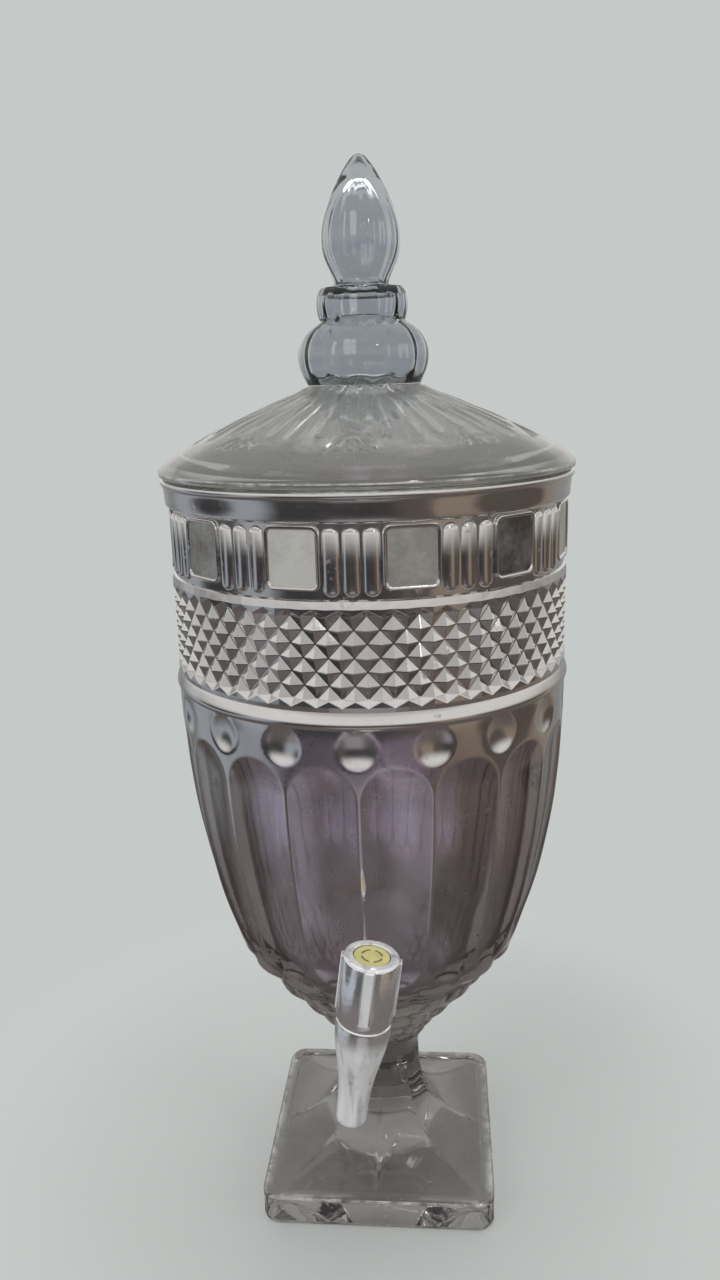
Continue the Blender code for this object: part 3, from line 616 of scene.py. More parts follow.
def shift(offset: tuple[float, float, float]) -> None:
    """Move what is selected by an offset."""
    bpy.ops.transform.translate(value=offset)


def stretch(shares: tuple[float, float, float]) -> None:
    """Scale what is selected from the origin."""
    bpy.ops.transform.resize(value=shares, center_override=(0, 0, 0))


def lathe(name: str, profile: Profile, steps: int, closed: bool = False) -> bpy.types.Object:
    """Draw a profile point by point and spin it round the upright axis.

    Args:
        name: The new object's name.
        profile: Radius and height of each point.
        steps: How many steps make the turn.
        closed: Whether the profile comes back to its first point.

    Returns:
        The new object, with its normals outwards.
    """
    piece = begin(bpy.ops.mesh.primitive_plane_add, size=0.01)
    piece.name = name
    edit(piece)
    pick_all()
    bpy.ops.mesh.merge(type="CENTER")
    shift((profile[0][0], 0, profile[0][1]))
    route = list(profile) + ([profile[0]] if closed else [])
    for (radius, height), (next_radius, next_height) in zip(route, route[1:]):
        push((next_radius - radius, 0, next_height - height))
    pick_all()
    bpy.ops.mesh.remove_doubles(threshold=MERGE)
    pick_all()
    bpy.ops.mesh.spin(steps=steps, angle=math.tau, center=(0, 0, 0), axis=(0, 0, 1))
    tidy_up(piece)
    return piece


def tidy_up(piece: bpy.types.Object, reach: float = MERGE) -> None:
    """Merge the points that meet and turn every face outwards.

    Args:
        piece: The object.
        reach: How close together the points are.
    """
    if bpy.context.mode != "EDIT_MESH":
        edit(piece)
    pick_all()
    bpy.ops.mesh.remove_doubles(threshold=reach)
    pick_all()
    bpy.ops.mesh.normals_make_consistent(inside=False)
    rest()


def apply_modifier(piece: bpy.types.Object, kind: str, **settings: object) -> None:
    """Add one modifier to a piece, set it and apply it.

    Args:
        piece: The object.
        kind: The modifier's type.
        settings: The modifier's settings.
    """
    take(piece)
    modifier = piece.modifiers.new(kind.lower(), kind)
    for name, setting in settings.items():
        setattr(modifier, name, setting)
    bpy.ops.object.modifier_apply(modifier=modifier.name)


def carve(piece: bpy.types.Object, cutter: bpy.types.Object, cut: Cut) -> None:
    """Join a second shape onto a piece or cut it out, and remove the second shape."""
    apply_modifier(piece, "BOOLEAN", operation=cut.value, solver="EXACT", object=cutter)
    bpy.data.objects.remove(cutter)


def place(piece: bpy.types.Object, matrix: Matrix) -> None:
    """Move a piece's mesh to its place, so that its object stays at the origin."""
    piece.data.transform(matrix)
    piece.data.update()


def gather(pieces: Sequence[bpy.types.Object], name: str) -> bpy.types.Object:
    """Join several objects into the first one.

    Args:
        pieces: The objects.
        name: The joined object's name.

    Returns:
        The joined object.
    """
    take(*pieces)
    if len(pieces) > 1:
        bpy.ops.object.join()
    pieces[0].name = name
    rest()
    return pieces[0]


def copies_round(piece: bpy.types.Object, count: int, first: float) -> list[bpy.types.Object]:
    """Copy a piece round the upright axis, each copy with its own mesh, and remove the first.

    Args:
        piece: The object.
        count: How many copies go round.
        first: The angle of the first copy.

    Returns:
        The copies.
    """
    made = []
    for k in range(count):
        copy = piece.copy()
        copy.data = piece.data.copy()
        bpy.context.scene.collection.objects.link(copy)
        place(copy, Matrix.Rotation(first + k * math.tau / count, 4, "Z"))
        made.append(copy)
    bpy.data.objects.remove(piece)
    return made


def smooth(piece: bpy.types.Object, degrees: float) -> None:
    """Shade a piece smooth, with edges sharper than an angle kept crisp.

    Args:
        piece: The object.
        degrees: The angle.
    """
    take(piece)
    bpy.ops.object.shade_smooth_by_angle(angle=math.radians(degrees))
    rest()


def points_of(piece: bpy.types.Object) -> np.ndarray:
    """Return the points of a piece's mesh.

    Args:
        piece: The object.

    Returns:
        One row of x, y and z for each point.
    """
    places = np.zeros(len(piece.data.vertices) * 3, np.float64)
    piece.data.vertices.foreach_get("co", places)
    return places.reshape(-1, 3)


def radius_of(points: np.ndarray) -> np.ndarray:
    """Return how far each point lies from the upright axis."""
    return np.hypot(points[:, 0], points[:, 1])


def heading_of(points: np.ndarray) -> np.ndarray:
    """Return each point's angle round the upright axis, from the tap's side."""
    return np.arctan2(points[:, 0], -points[:, 1])


def set_points(piece: bpy.types.Object, points: np.ndarray) -> None:
    """Move the points of a piece's mesh."""
    piece.data.vertices.foreach_set("co", points.ravel())
    piece.data.update()


def paint(piece: bpy.types.Object, name: str, numbers: np.ndarray) -> None:
    """Paint one number on each point of a piece."""
    layer = piece.data.attributes.get(name) or piece.data.attributes.new(name, "FLOAT", "POINT")
    layer.data.foreach_set("value", numbers.astype(np.float32))


def curve_through(points: Profile, pitch: float) -> list[tuple[float, float]]:
    """Draw an even row of points on a smooth curve through some points.

    Args:
        points: The points to pass through, as pairs.
        pitch: How far apart the new points lie, about.

    Returns:
        The points on the curve.
    """
    given = [Vector(point) for point in points]
    padded = [2 * given[0] - given[1]] + given + [2 * given[-1] - given[-2]]
    drawn = []
    for before, start, end, after in zip(padded, padded[1:], padded[2:], padded[3:]):
        count = max(1, round((end - start).length / pitch))
        for k in range(count):
            t = k / count
            drawn.append(0.5 * (
                2 * start + (end - before) * t + (2 * before - 5 * start + 4 * end - after) * t ** 2
                + (3 * start - before - 3 * end + after) * t ** 3))
    drawn.append(given[-1])
    return [tuple(point) for point in drawn]


def hand_over(piece: bpy.types.Object, finish: bpy.types.Material, body: Body,
              nodes: Sequence[str]) -> None:
    """Give a finished piece its material and its body, and hide the CAD nodes that it stands for.

    Args:
        piece: The finished piece.
        finish: Its material.
        body: The body that it rides on.
        nodes: The CAD nodes, none if it is extra.
    """
    rest()
    piece.data.materials.clear()
    piece.data.materials.append(finish)
    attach(piece, body.value)
    if nodes:
        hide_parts(*nodes)
    piece.data.calc_loop_triangles()
    log.info("%s: %d triangles on %s", piece.name, len(piece.data.loop_triangles), body.value)


# The pieces


@dataclass
class Bowl:
    """The pressed bowl under its silver lustre."""

    rim_height: float = 0.39332
    band_top: float = 0.37972
    band_foot: float = 0.34852
    band_radius: float = 0.0958
    ring_edge: float = 0.34780
    ring_radius: float = 0.0968
    roll_top: float = 0.29980
    upper_steps: int = 216
    lower_steps: int = 540
    groups: int = 12
    # The framed panels
    frame_width: float = 0.0250
    frame_height: float = 0.0276
    frame_middle: float = 0.36560
    frame_sunk: float = 0.0016
    frame_cuts: int = 5
    frame_corner: float = 0.0040
    panel_level: float = 0.0005
    panel_proud: float = 0.0001
    panel_slack: float = 0.00004
    # One number per panel, from the tap's side round towards +X: partly tarnish, partly painted shade and
    # sheen.
    tarnish_and_shade: tuple[float, ...] = (0.55, 0.95, 0.5, 0.2, 0.6, 0.35, 0.15, 0.5, 0.3, 0.45, 0.75, 0.02)
    # The reeds between them
    reed_pitch: float = 0.00848
    reed_half_width: float = 0.0039
    reed_half_length: float = 0.0147
    reed_proud: float = 0.0017
    reed_sunk: float = 0.0005
    reed_steps: int = 28
    reed_turns: tuple[int, ...] = (-1, 0, 1)
    # The ring that they are joined to, and how the skins meet
    back_radius: float = 0.0930
    back_limit: float = 0.0945
    end_limit: float = 0.0007
    end_slack: float = 0.00001
    skin_gap: float = 0.00007
    crisp_angle: float = 27
    # The cut diamonds
    columns: int = 108
    first_row: float = 0.34142
    row_drop: float = 0.00607
    rows: int = 6
    peak_radius: float = 0.0973
    groove_radius: float = 0.0946
    tooth: float = 0.0030
    lattice_margin: float = 0.0004
    lattice_depth: float = 0.001
    facet_angle: float = math.radians(9)
    facet_bevel: float = 0.00022
    seam_cuts: tuple[int, int] = (1, 4)
    # The pressed relief of the lower half
    flutes: int = 18
    arch_radius: float = 0.0970
    flute_top: float = 0.2748
    flute_end: float = 0.1535
    flute_end_rise: float = 0.0130
    flute_depth: float = 0.0032
    flute_crowding: float = 0.62
    flute_softness: float = 0.05
    flute_taper: float = 1.2
    ridge: float = 0.0013
    dimple_height: float = 0.2828
    dimple_radius: float = 0.0093
    dimple_depth: float = 0.0023
    dimple_softness: float = 0.06
    scallop_share: float = 0.034
    scallop_power: float = 2.2
    scallop_top: tuple[float, float] = (0.1530, 0.1470)
    scallop_foot: tuple[float, float] = (0.0862, 0.0900)
    # The seat of the tap
    seat_radius: float = 0.0131
    seat_face: float = 0.0825
    seat_back: float = 0.0695
    spot_radius: float = 0.0128
    bore_radius: float = 0.0082
    bore_end: float = 0.0535
    seat_edge: float = 0.0006
    seat_steps: int = 48
    tap_height: float = 0.1570
    # Where the lustre starts outside the inner skin
    film_start: float = 0.0012
    floor_height: float = 0.1270

    def build(self, finish: bpy.types.Material, satin: bpy.types.Material) -> bpy.types.Object:
        """Make the bowl from its four skins, seat the tap and paint the lustre.

        Args:
            finish: The lustre glass.
            satin: What the framed panels wear.

        Returns:
            The finished bowl.
        """
        bowl = gather([self._upper(), self._band(), self._lattice(), self._lower()], "bowl_glass")
        edit(bowl)
        bpy.ops.mesh.select_non_manifold()
        bpy.ops.mesh.remove_doubles(threshold=self.skin_gap)
        tidy_up(bowl)
        self._seat_tap(bowl)
        self._paint_lustre(bowl)
        smooth(bowl, self.crisp_angle)
        edit(bowl, "FACE")
        pick(bowl, self._is_facet, "faces")
        bpy.ops.mesh.faces_shade_flat()
        hand_over(bowl, finish, Body.BASE, ["bowl"])
        bowl.data.materials.append(satin)
        bowl.active_material_index = 1
        edit(bowl, "FACE")
        pick(bowl, self._is_panel, "faces")
        bpy.ops.object.material_slot_assign()
        rest()
        return bowl

    def _is_panel(self, middle: Vector) -> bool:
        """Say whether a face is one of the flat panels in their frames.

        Args:
            middle: The face's middle.

        Returns:
            Whether it is.
        """
        share = math.tau / self.groups
        off = math.atan2(middle.x, -middle.y) % share - share / 2
        across = middle.xy.length * math.sin(off)
        proud = middle.xy.length * math.cos(off) - self.band_radius
        up = middle.z - self.frame_middle
        inside = abs(across) < self.frame_width / 2 and abs(up) < self.frame_height / 2
        return inside and abs(proud - self.panel_proud) < self.panel_slack

    def _is_facet(self, middle: Vector) -> bool:
        """Say whether a face belongs to the cut diamonds."""
        outside = middle.xy.length > self.groove_radius - self.lattice_depth
        return outside and self.roll_top < middle.z < self.ring_edge - self.lattice_margin

    def _inner_skin(self) -> Profile:
        """Return the inside from the middle of the floor up to the mouth.

        Returns:
            The profile.
        """
        floor = [(0.0400, 0.1276), (0.0500, 0.1288), (0.0575, 0.1326), (0.0628, 0.1395),
                 (0.0680, 0.1500), (0.0754, 0.1706), (0.0836, 0.2031), (0.0890, 0.2427),
                 (0.0909, 0.2880), (0.0913, 0.3300), (0.0914, 0.3797)]
        return [(0.0, 0.1275), (0.0200, 0.1275)] + curve_through(floor, 0.009)

    def _upper(self) -> bpy.types.Object:
        """Lathe the inside, the lip and the plain neck down to the band.

        Returns:
            The new piece.
        """
        lip = [(0.0914, 0.3905), (0.0917, 0.3920), (0.0926, 0.3930), (0.0938, self.rim_height),
               (0.0978, self.rim_height), (0.0990, 0.3930), (0.0998, 0.3923), (0.1000, 0.3914),
               (0.0999, 0.3906), (0.0995, 0.3899), (0.0989, 0.3894), (0.0988, 0.3890)]
        neck = [(0.0987, 0.3880), (0.0984, 0.3850), (0.0983, 0.3822), (0.0980, 0.3810),
                (0.0972, 0.3802), (0.0962, 0.3798), (self.band_radius, self.band_top)]
        return lathe("upper", list(self._inner_skin()) + lip + neck, self.upper_steps)

    def _band(self) -> bpy.types.Object:
        """Make the band of framed panels and reeds, and open its ends and its back.

        Returns:
            The new piece.
        """
        wall = [(self.band_radius, self.band_top), (self.band_radius, self.band_foot),
                (self.ring_radius, self.ring_edge), (self.back_radius, self.ring_edge),
                (self.back_radius, self.band_top)]
        band = lathe("band", wall, self.upper_steps, True)
        relief = copies_round(self._frame(), self.groups, math.pi / self.groups)
        for k in self.reed_turns:
            relief += copies_round(self._reed(), self.groups, k * self.reed_pitch / self.band_radius)
        carve(band, gather(relief, "relief"), Cut.JOIN)
        edit(band, "FACE")
        middle = (self.band_top + self.ring_edge) / 2
        half = (self.band_top - self.ring_edge) / 2 - self.end_slack

        def hidden(centre: Vector) -> bool:
            """Say whether a face is the ring's back or one of its two ends."""
            at_end = abs(centre.z - middle) > half
            return centre.xy.length < (self.band_radius + self.end_limit if at_end else self.back_limit)

        pick(band, hidden, "faces")
        bpy.ops.mesh.delete(type="FACE")
        rest()
        return band

    def _frame(self) -> bpy.types.Object:
        """Model one framed panel flat, then wrap its frame on the band.

        Returns:
            The new piece.
        """
        piece = begin(bpy.ops.mesh.primitive_plane_add, size=1.0)
        place(piece, Matrix.Diagonal((self.frame_width, self.frame_height, 1, 1)))
        place(piece, Matrix.Translation((0, 0, -self.frame_sunk)))
        edit(piece, "EDGE")
        pick_all()
        bpy.ops.mesh.subdivide(number_cuts=self.frame_cuts)
        pick_all()
        bpy.ops.mesh.dissolve_limited(angle_limit=0.01, use_dissolve_boundaries=False)
        pick_mode("VERT")
        corner = Vector((self.frame_width, self.frame_height, 0)) / 2
        pick(piece, lambda point: abs(point.x) > corner.x - NEAR and abs(point.y) > corner.y - NEAR)
        bpy.ops.mesh.bevel(offset=self.frame_corner, segments=6, affect="VERTICES")
        bpy.ops.mesh.select_mode(type="FACE")
        pick_all()
        steps = ((0.0021, 0.0), (0.0006, 0.0002), (0.0003, 0.0004), (0.0, 0.0007), (-0.0002, 0.0004),
                 (-0.0007, 0.0004))
        for rise, inset in steps:
            if inset:
                bpy.ops.mesh.inset(thickness=inset, use_even_offset=True)
                shift((0, 0, rise))
            else:
                push((0, 0, rise))
        rest()
        points = points_of(piece)
        panel = np.abs(points[:, 2] - self.panel_level) < NEAR / 2
        across, up, proud = points.T
        angle = across / self.band_radius
        radius = self.band_radius + proud
        wrapped = np.stack((radius * np.sin(angle), -radius * np.cos(angle), self.frame_middle + up), 1)
        flat = np.stack((across, np.full_like(across, -self.panel_proud - self.band_radius),
                         self.frame_middle + up), 1)
        set_points(piece, np.where(panel[:, None], flat, wrapped))
        tidy_up(piece)
        return piece

    def _reed(self) -> bpy.types.Object:
        """Model one upright reed: a ball, flattened and drawn out.

        Returns:
            The new piece.
        """
        piece = begin(bpy.ops.mesh.primitive_uv_sphere_add, segments=self.reed_steps,
                      ring_count=self.reed_steps // 2, radius=self.reed_half_width)
        drawn = self.reed_half_length - self.reed_half_width
        edit(piece)
        pick(piece, lambda point: point.z > NEAR)
        shift((0, 0, drawn))
        pick_none()
        pick(piece, lambda point: point.z < -NEAR)
        shift((0, 0, -drawn))
        pick_all()
        stretch((1, (self.reed_proud + self.reed_sunk) / self.reed_half_width, 1))
        shift((0, self.reed_sunk - self.band_radius, (self.band_top + self.band_foot) / 2))
        rest()
        return piece

    def _lattice(self) -> bpy.types.Object:
        """Model the band of pointed diamonds between its two toothed edges.

        Returns:
            The new piece.
        """
        piece = begin(bpy.ops.mesh.primitive_circle_add, vertices=self.columns, radius=self.ring_radius)
        place(piece, Matrix.Translation((0, 0, self.ring_edge)))
        piece.name = "lattice"
        last = self.first_row - self.rows * self.row_drop
        stops = [self.first_row + self.tooth]
        stops += [self.first_row - row * self.row_drop for row in range(self.rows + 1)]
        stops += [last - self.tooth, self.roll_top]
        edit(piece, "EDGE")
        pick_all()
        height = self.ring_edge
        for stop in stops:
            push((0, 0, stop - height))
            height = stop
        bpy.ops.mesh.select_mode(type="VERT")
        for row, stop in enumerate(stops[:-1]):
            self._set_row(piece, stop, row - 1 if 0 < row <= self.rows + 1 else None)
        bpy.ops.mesh.select_mode(type="FACE")
        pick_all()
        bpy.ops.mesh.quads_convert_to_tris(quad_method="SHORTEST_DIAGONAL")
        bpy.ops.mesh.normals_make_consistent(inside=False)
        pick_mode("EDGE")
        bpy.ops.mesh.edges_select_sharp(sharpness=self.facet_angle)
        bpy.ops.mesh.bevel(offset=self.facet_bevel, segments=1, affect="EDGES", clamp_overlap=True)
        for height, cuts in zip((self.ring_edge, self.roll_top), self.seam_cuts):
            pick_mode("EDGE")
            pick(piece, lambda middle: abs(middle.z - height) < NEAR / 5, "edges")
            bpy.ops.mesh.subdivide(number_cuts=cuts)
        rest()
        return piece

    def _set_row(self, piece: bpy.types.Object, height: float, row: int | None) -> None:
        """Scale one row of the lattice out to its peaks, and every second point in to a groove.

        Args:
            piece: The lattice, in edit mode.
            height: The row's height.
            row: The row's number, or None for a plain ring.
        """
        pick_none()
        pick(piece, lambda point: abs(point.z - height) < NEAR)
        out = self.peak_radius / self.ring_radius
        stretch((out, out, 1))
        if row is None:
            return
        pick_none()
        step = math.tau / self.columns

        def groove(point: Vector) -> bool:
            """Say whether a point of this row lies in a groove."""
            column = round((math.atan2(point.y, point.x) - FRONT) / step)
            return abs(point.z - height) < NEAR and (column + row) % 2 == 1

        pick(piece, groove)
        inward = self.groove_radius / self.peak_radius
        stretch((inward, inward, 1))

    def _lower(self) -> bpy.types.Object:
        """Lathe the roll, the side and the tiers, then press the relief into them.

        Returns:
            The new piece.
        """
        roll = [(self.ring_radius, self.roll_top), (0.0971, 0.2991), (0.0975, 0.2979), (0.0979, 0.2967),
                (0.0983, 0.2955), (0.0985, 0.2946), (0.0985, 0.2938), (0.0983, 0.2931), (0.0979, 0.2925),
                (0.0975, 0.2919)]
        side = self._side(np.concatenate((
            np.arange(0.2908, 0.2460, -0.0011), np.arange(0.2458, 0.1740, -0.0044),
            np.arange(0.1735, 0.1478, -0.0012))))
        tiers = [(0.0738, 0.1465), (0.0736, 0.1452), (0.0729, 0.1442), (0.0705, 0.1420),
                 (0.0660, 0.1378), (0.0626, 0.1349), (0.0617, 0.1336), (0.0611, 0.1310),
                 (0.0600, 0.1280), (0.0589, 0.1256), (0.0580, 0.1243), (0.0562, 0.1226),
                 (0.0520, 0.1188), (0.0488, 0.1158), (0.0477, 0.1142), (0.0468, 0.1118),
                 (0.0453, 0.1094), (0.0441, 0.1077), (0.0431, 0.1068), (0.0410, 0.1050),
                 (0.0384, 0.1026), (0.0373, 0.1012), (0.0364, 0.0992), (0.0350, 0.0971),
                 (0.0339, 0.0957), (0.0328, 0.0947), (0.0304, 0.0924), (0.0284, 0.0902),
                 (0.0273, 0.0884), (0.0266, 0.0866), (0.0262, 0.0853), (0.0, 0.0853)]
        piece = lathe("lower", roll + side + tiers, self.lower_steps)
        self._press(piece)
        return piece

    def _side(self, heights: np.ndarray) -> Profile:
        """Return the side of the bowl at some heights.

        Args:
            heights: The heights.

        Returns:
            The profile.
        """
        measured = [(0.0738, 0.1465), (0.0764, 0.1540), (0.0792, 0.1621), (0.0830, 0.1738),
                    (0.0861, 0.1848), (0.0885, 0.1955), (0.0906, 0.2065), (0.0925, 0.2174),
                    (0.0940, 0.2280), (0.0951, 0.2386), (0.0960, 0.2490), (0.0966, 0.2600),
                    (0.0970, 0.2700), (0.0974, 0.2810), (0.0975, 0.2920)]
        curve = np.array(curve_through(measured, 0.002))
        return [(float(np.interp(height, curve[:, 1], curve[:, 0])), float(height)) for height in heights]

    def _press(self, piece: bpy.types.Object) -> None:
        """Press flutes, dimples and scallops into the side, as the mould does.

        The relief runs in two directions at once, so each point is moved by its own depth.

        Args:
            piece: The lower skin.
        """
        points = points_of(piece)
        radius = radius_of(points)
        height = points[:, 2]
        angle = heading_of(points) % math.tau
        cell = math.tau / self.flutes
        draw = eased(height, 0.2940, 0.2905)
        share = (angle % cell) / cell
        angle = angle - draw * cell * self.flute_crowding * np.sin(math.tau * share) / math.tau
        from_flute = (angle % cell) - cell / 2
        from_ridge = (angle + cell / 2) % cell - cell / 2
        half = np.maximum(radius * cell / 2 - self.ridge / 2, 0.001)
        arch = self.arch_radius * cell / 2 - self.ridge / 2
        up = np.maximum(0, (height - self.flute_top + arch) / arch)
        down = np.maximum(0, (self.flute_end + self.flute_end_rise - height) / self.flute_end_rise)
        inside = 1 - (from_flute * radius / half) ** 2 - up ** 2 - down ** 2
        flute = softened(inside, self.flute_softness)
        across = from_ridge * radius
        inside = 1 - (across ** 2 + (height - self.dimple_height) ** 2) / self.dimple_radius ** 2
        dimple = softened(inside, self.dimple_softness)
        low = eased(height, *self.scallop_top) * eased(height, *self.scallop_foot)
        scallop = low * (np.abs(from_flute) * 2 / cell) ** self.scallop_power
        depth = self.flute_depth * (half / arch) ** self.flute_taper * flute
        depth += self.dimple_depth * dimple + self.scallop_share * radius * scallop
        moved = radius - depth
        heading = angle + FRONT
        set_points(piece, np.stack((moved * np.cos(heading), moved * np.sin(heading), height), 1))
        paint(piece, "hollow", np.clip(flute, 0, 1))
        paint(piece, "bright", np.clip(dimple * 3, 0, 1))

    def _seat_tap(self, bowl: bpy.types.Object) -> None:
        """Build the flat seat for the tap out of the wall, and bore it.

        Args:
            bowl: The bowl.
        """
        seat = lathe("seat", [
            (0, self.seat_face), (self.seat_radius - self.seat_edge, self.seat_face),
            (self.seat_radius, self.seat_face - self.seat_edge), (self.seat_radius, self.seat_back),
            (0, self.seat_back)], self.seat_steps)
        bore = lathe("bore", [
            (0, self.seat_face + OVERRUN), (self.bore_radius, self.seat_face + OVERRUN),
            (self.bore_radius, self.seat_back), (self.spot_radius, self.seat_back),
            (self.spot_radius, self.bore_end), (0, self.bore_end)], self.seat_steps)
        forward = Matrix.Translation((0, 0, self.tap_height)) @ Matrix.Rotation(-FRONT, 4, "X")
        for shape, cut in ((seat, Cut.JOIN), (bore, Cut.CARVE)):
            place(shape, forward)
            carve(bowl, shape, cut)

    def _paint_lustre(self, bowl: bpy.types.Object) -> None:
        """Paint where the lustre lies, all of the outside, and each panel's tarnish and painted shade and
        sheen.

        Args:
            bowl: The bowl.
        """
        points = points_of(bowl)
        radius = radius_of(points)
        inner = np.array(self._inner_skin())
        wall = np.interp(points[:, 2], inner[:, 1], inner[:, 0])
        outside = (radius > wall + self.film_start) | (points[:, 2] < self.floor_height)
        paint(bowl, "lustre", outside.astype(float))
        number = (heading_of(points) % math.tau / math.tau * self.groups).astype(int)
        # One number per panel: partly tarnish, partly painted shade and sheen.
        paint(bowl, "tarnish_and_shade", np.array(self.tarnish_and_shade)[number % self.groups])


def softened(inside: np.ndarray, ease: float) -> np.ndarray:
    """Cut a hollow off at its edge with a soft bend."""
    return (inside + np.sqrt(inside ** 2 + ease ** 2)) / 2 * (inside > -1.5)


def eased(values: np.ndarray, low: float, high: float) -> np.ndarray:
    """Return 0 at the low value and 1 at the high one, with eased ends."""
    share = np.clip((values - low) / (high - low), 0, 1)
    return share * share * (3 - 2 * share)


@dataclass
class Foot:
    """The clear pedestal foot: a square slab that sweeps up in eight panels to a waisted stem."""

    half: float = 0.0620
    corner: float = 0.0100
    panel_half: float = 0.0548
    edge_height: float = 0.0167
    waist_radius: float = 0.0208
    waist_height: float = 0.0690
    top_radius: float = 0.0262
    top: float = 0.0850
    panels: int = 8
    crowding: float = 0.75
    directions: int = 160
    crest_width: float = 0.0009
    crest_height: float = 0.0016
    highlight_width: float = 0.0022
    highlight_height: float = 0.0163
    sweep_foot: float = 0.0160
    sweep_power: float = 1.15
    sweep_rings: int = 26
    stem_rings: int = 9
    stem_facet: float = 0.35
    crisp_angle: float = 24

    def build(self, finish: bpy.types.Material) -> bpy.types.Object:
        """Extrude the foot ring by ring and shape the rings.

        Args:
            finish: The clear glass.

        Returns:
            The finished foot.
        """
        piece = begin(bpy.ops.mesh.primitive_circle_add, vertices=self.directions, radius=1.0)
        piece.name = "foot_glass"
        edit(piece, "EDGE")
        pick_all()
        stations = self._stations()
        for lower, upper in zip(stations, stations[1:]):
            push((0, 0, upper[0] - lower[0]))
        rest()
        points = points_of(piece)
        angle = np.arctan2(points[:, 1], points[:, 0])
        angle -= self.crowding * np.sin(self.panels * angle) / self.panels
        row = np.arange(len(points)) // self.directions
        for k, (height, wide, corner, square, facet, crest) in enumerate(stations):
            ring = row == k
            reach = self._reach(angle[ring], wide, corner, square, facet)
            step = math.tau / self.panels
            off = (angle[ring] + step / 2) % step - step / 2
            reach += crest * np.exp(-(off * wide / self.crest_width) ** 2)
            points[ring] = np.stack(
                (reach * np.cos(angle[ring]), reach * np.sin(angle[ring]), np.full(ring.sum(), height)), 1)
        set_points(piece, points)
        height = points[:, 2]
        # Painted highlight along the slab's upper and lower edges, which the glass shows as a bright broken
        # line.
        slab = np.abs(points[:, :2]).max(1) > self.half - self.highlight_width
        rim = eased(np.abs(height - self.highlight_height), 0.0009, 0.0002) + eased(height, 0.0012, 0.0004)
        paint(piece, "edge", np.clip(rim, 0, 1) * slab)
        edit(piece)
        bpy.ops.mesh.select_non_manifold()
        bpy.ops.mesh.edge_face_add()
        tidy_up(piece)
        smooth(piece, self.crisp_angle)
        hand_over(piece, finish, Body.BASE, ["pedestal_foot"])
        return piece

    def _stations(self) -> list[tuple[float, ...]]:
        """Return height, reach, corner, squareness, eight-sidedness and crest of each ring.

        Returns:
            One row for each ring, from the underside up.
        """
        rings = []
        for height, inset in ((0, 0.0050), (0, 0.0016), (0.0003, 0.0009), (0.0009, 0.0003), (0.0016, 0.0),
                              (0.0080, 0.0003), (0.0151, 0.0), (0.0160, 0.0004), (0.0166, 0.0010),
                              (self.edge_height, 0.0020), (self.edge_height, 0.0052), (0.0165, 0.0060),
                              (0.0161, 0.0066)):
            rings.append((height, self.half - inset, self.corner - inset, 1.0, 0.0, 0.0))
        shares = [(0.0, 1.0, 1.0, 0.0), (0.04, 0.86, 0.88, 0.30), (0.10, 0.70, 0.60, 0.62),
                  (0.19, 0.48, 0.30, 0.86), (0.35, 0.245, 0.06, 1.0), (0.57, 0.085, 0.0, 0.95),
                  (0.80, 0.015, 0.0, 0.7), (1.0, 0.0, 0.0, 0.35)]
        rise, spread, square, facet = (np.array(column) for column in zip(*shares))
        for share in np.linspace(0, 1, self.sweep_rings) ** self.sweep_power:
            wide = self.waist_radius + (self.panel_half - self.waist_radius) * smooth_at(share, rise, spread)
            level = self.sweep_foot + (self.waist_height - self.sweep_foot) * share
            squareness = smooth_at(share, rise, square)
            corner = wide + (self.corner / 2 - wide) * squareness
            crest = self.crest_height * min(1.0, share / 0.05) * max(0.12, 1.0 - share * 1.3)
            rings.append((level, wide, corner, squareness, smooth_at(share, rise, facet), crest))
        for share in np.linspace(0.12, 1, self.stem_rings):
            wide = self.waist_radius + (self.top_radius - self.waist_radius) * share ** 2
            level = self.waist_height + (self.top - self.waist_height) * share
            rings.append((level, wide, wide, 0.0, self.stem_facet * (1 - share), 0.0))
        return rings

    def _reach(self, angle: np.ndarray, wide: float, corner: float, square: float,
               facet: float) -> np.ndarray:
        """Return how far out the ring lies in each direction.

        Args:
            angle: The directions.
            wide: The ring's reach.
            corner: The radius of its corners.
            square: How square it is, from 0 to 1.
            facet: How eight-sided it is, from 0 to 1.

        Returns:
            The reach in each direction.
        """
        across, along = np.abs(np.cos(angle)), np.abs(np.sin(angle))
        flat = wide / np.maximum(across, along)
        inner = wide - corner
        middle = inner * (across + along)
        rounded = middle + np.sqrt(np.maximum(0, corner ** 2 - 2 * inner ** 2 + middle ** 2))
        box = np.where(np.minimum(across, along) * flat <= inner, flat, rounded)
        step = math.tau / self.panels
        eight = wide * math.cos(step / 2) / np.cos(angle % step - step / 2)
        return (wide + (eight - wide) * facet) * (1 - square) + box * square


def smooth_at(share: float, shares: np.ndarray, values: np.ndarray) -> float:
    """Read a smooth curve through some values at a share of its way.

    Args:
        share: The place.
        shares: Where the values are given.
        values: The values.

    Returns:
        The value at the place.
    """
    slopes = np.gradient(values, shares)
    k = int(np.clip(np.searchsorted(shares, share) - 1, 0, len(shares) - 2))
    width = shares[k + 1] - shares[k]
    t = (share - shares[k]) / width
    return float(values[k] * (1 + 2 * t) * (1 - t) ** 2 + slopes[k] * width * t * (1 - t) ** 2
                 + values[k + 1] * t * t * (3 - 2 * t) + slopes[k + 1] * width * t * t * (t - 1))


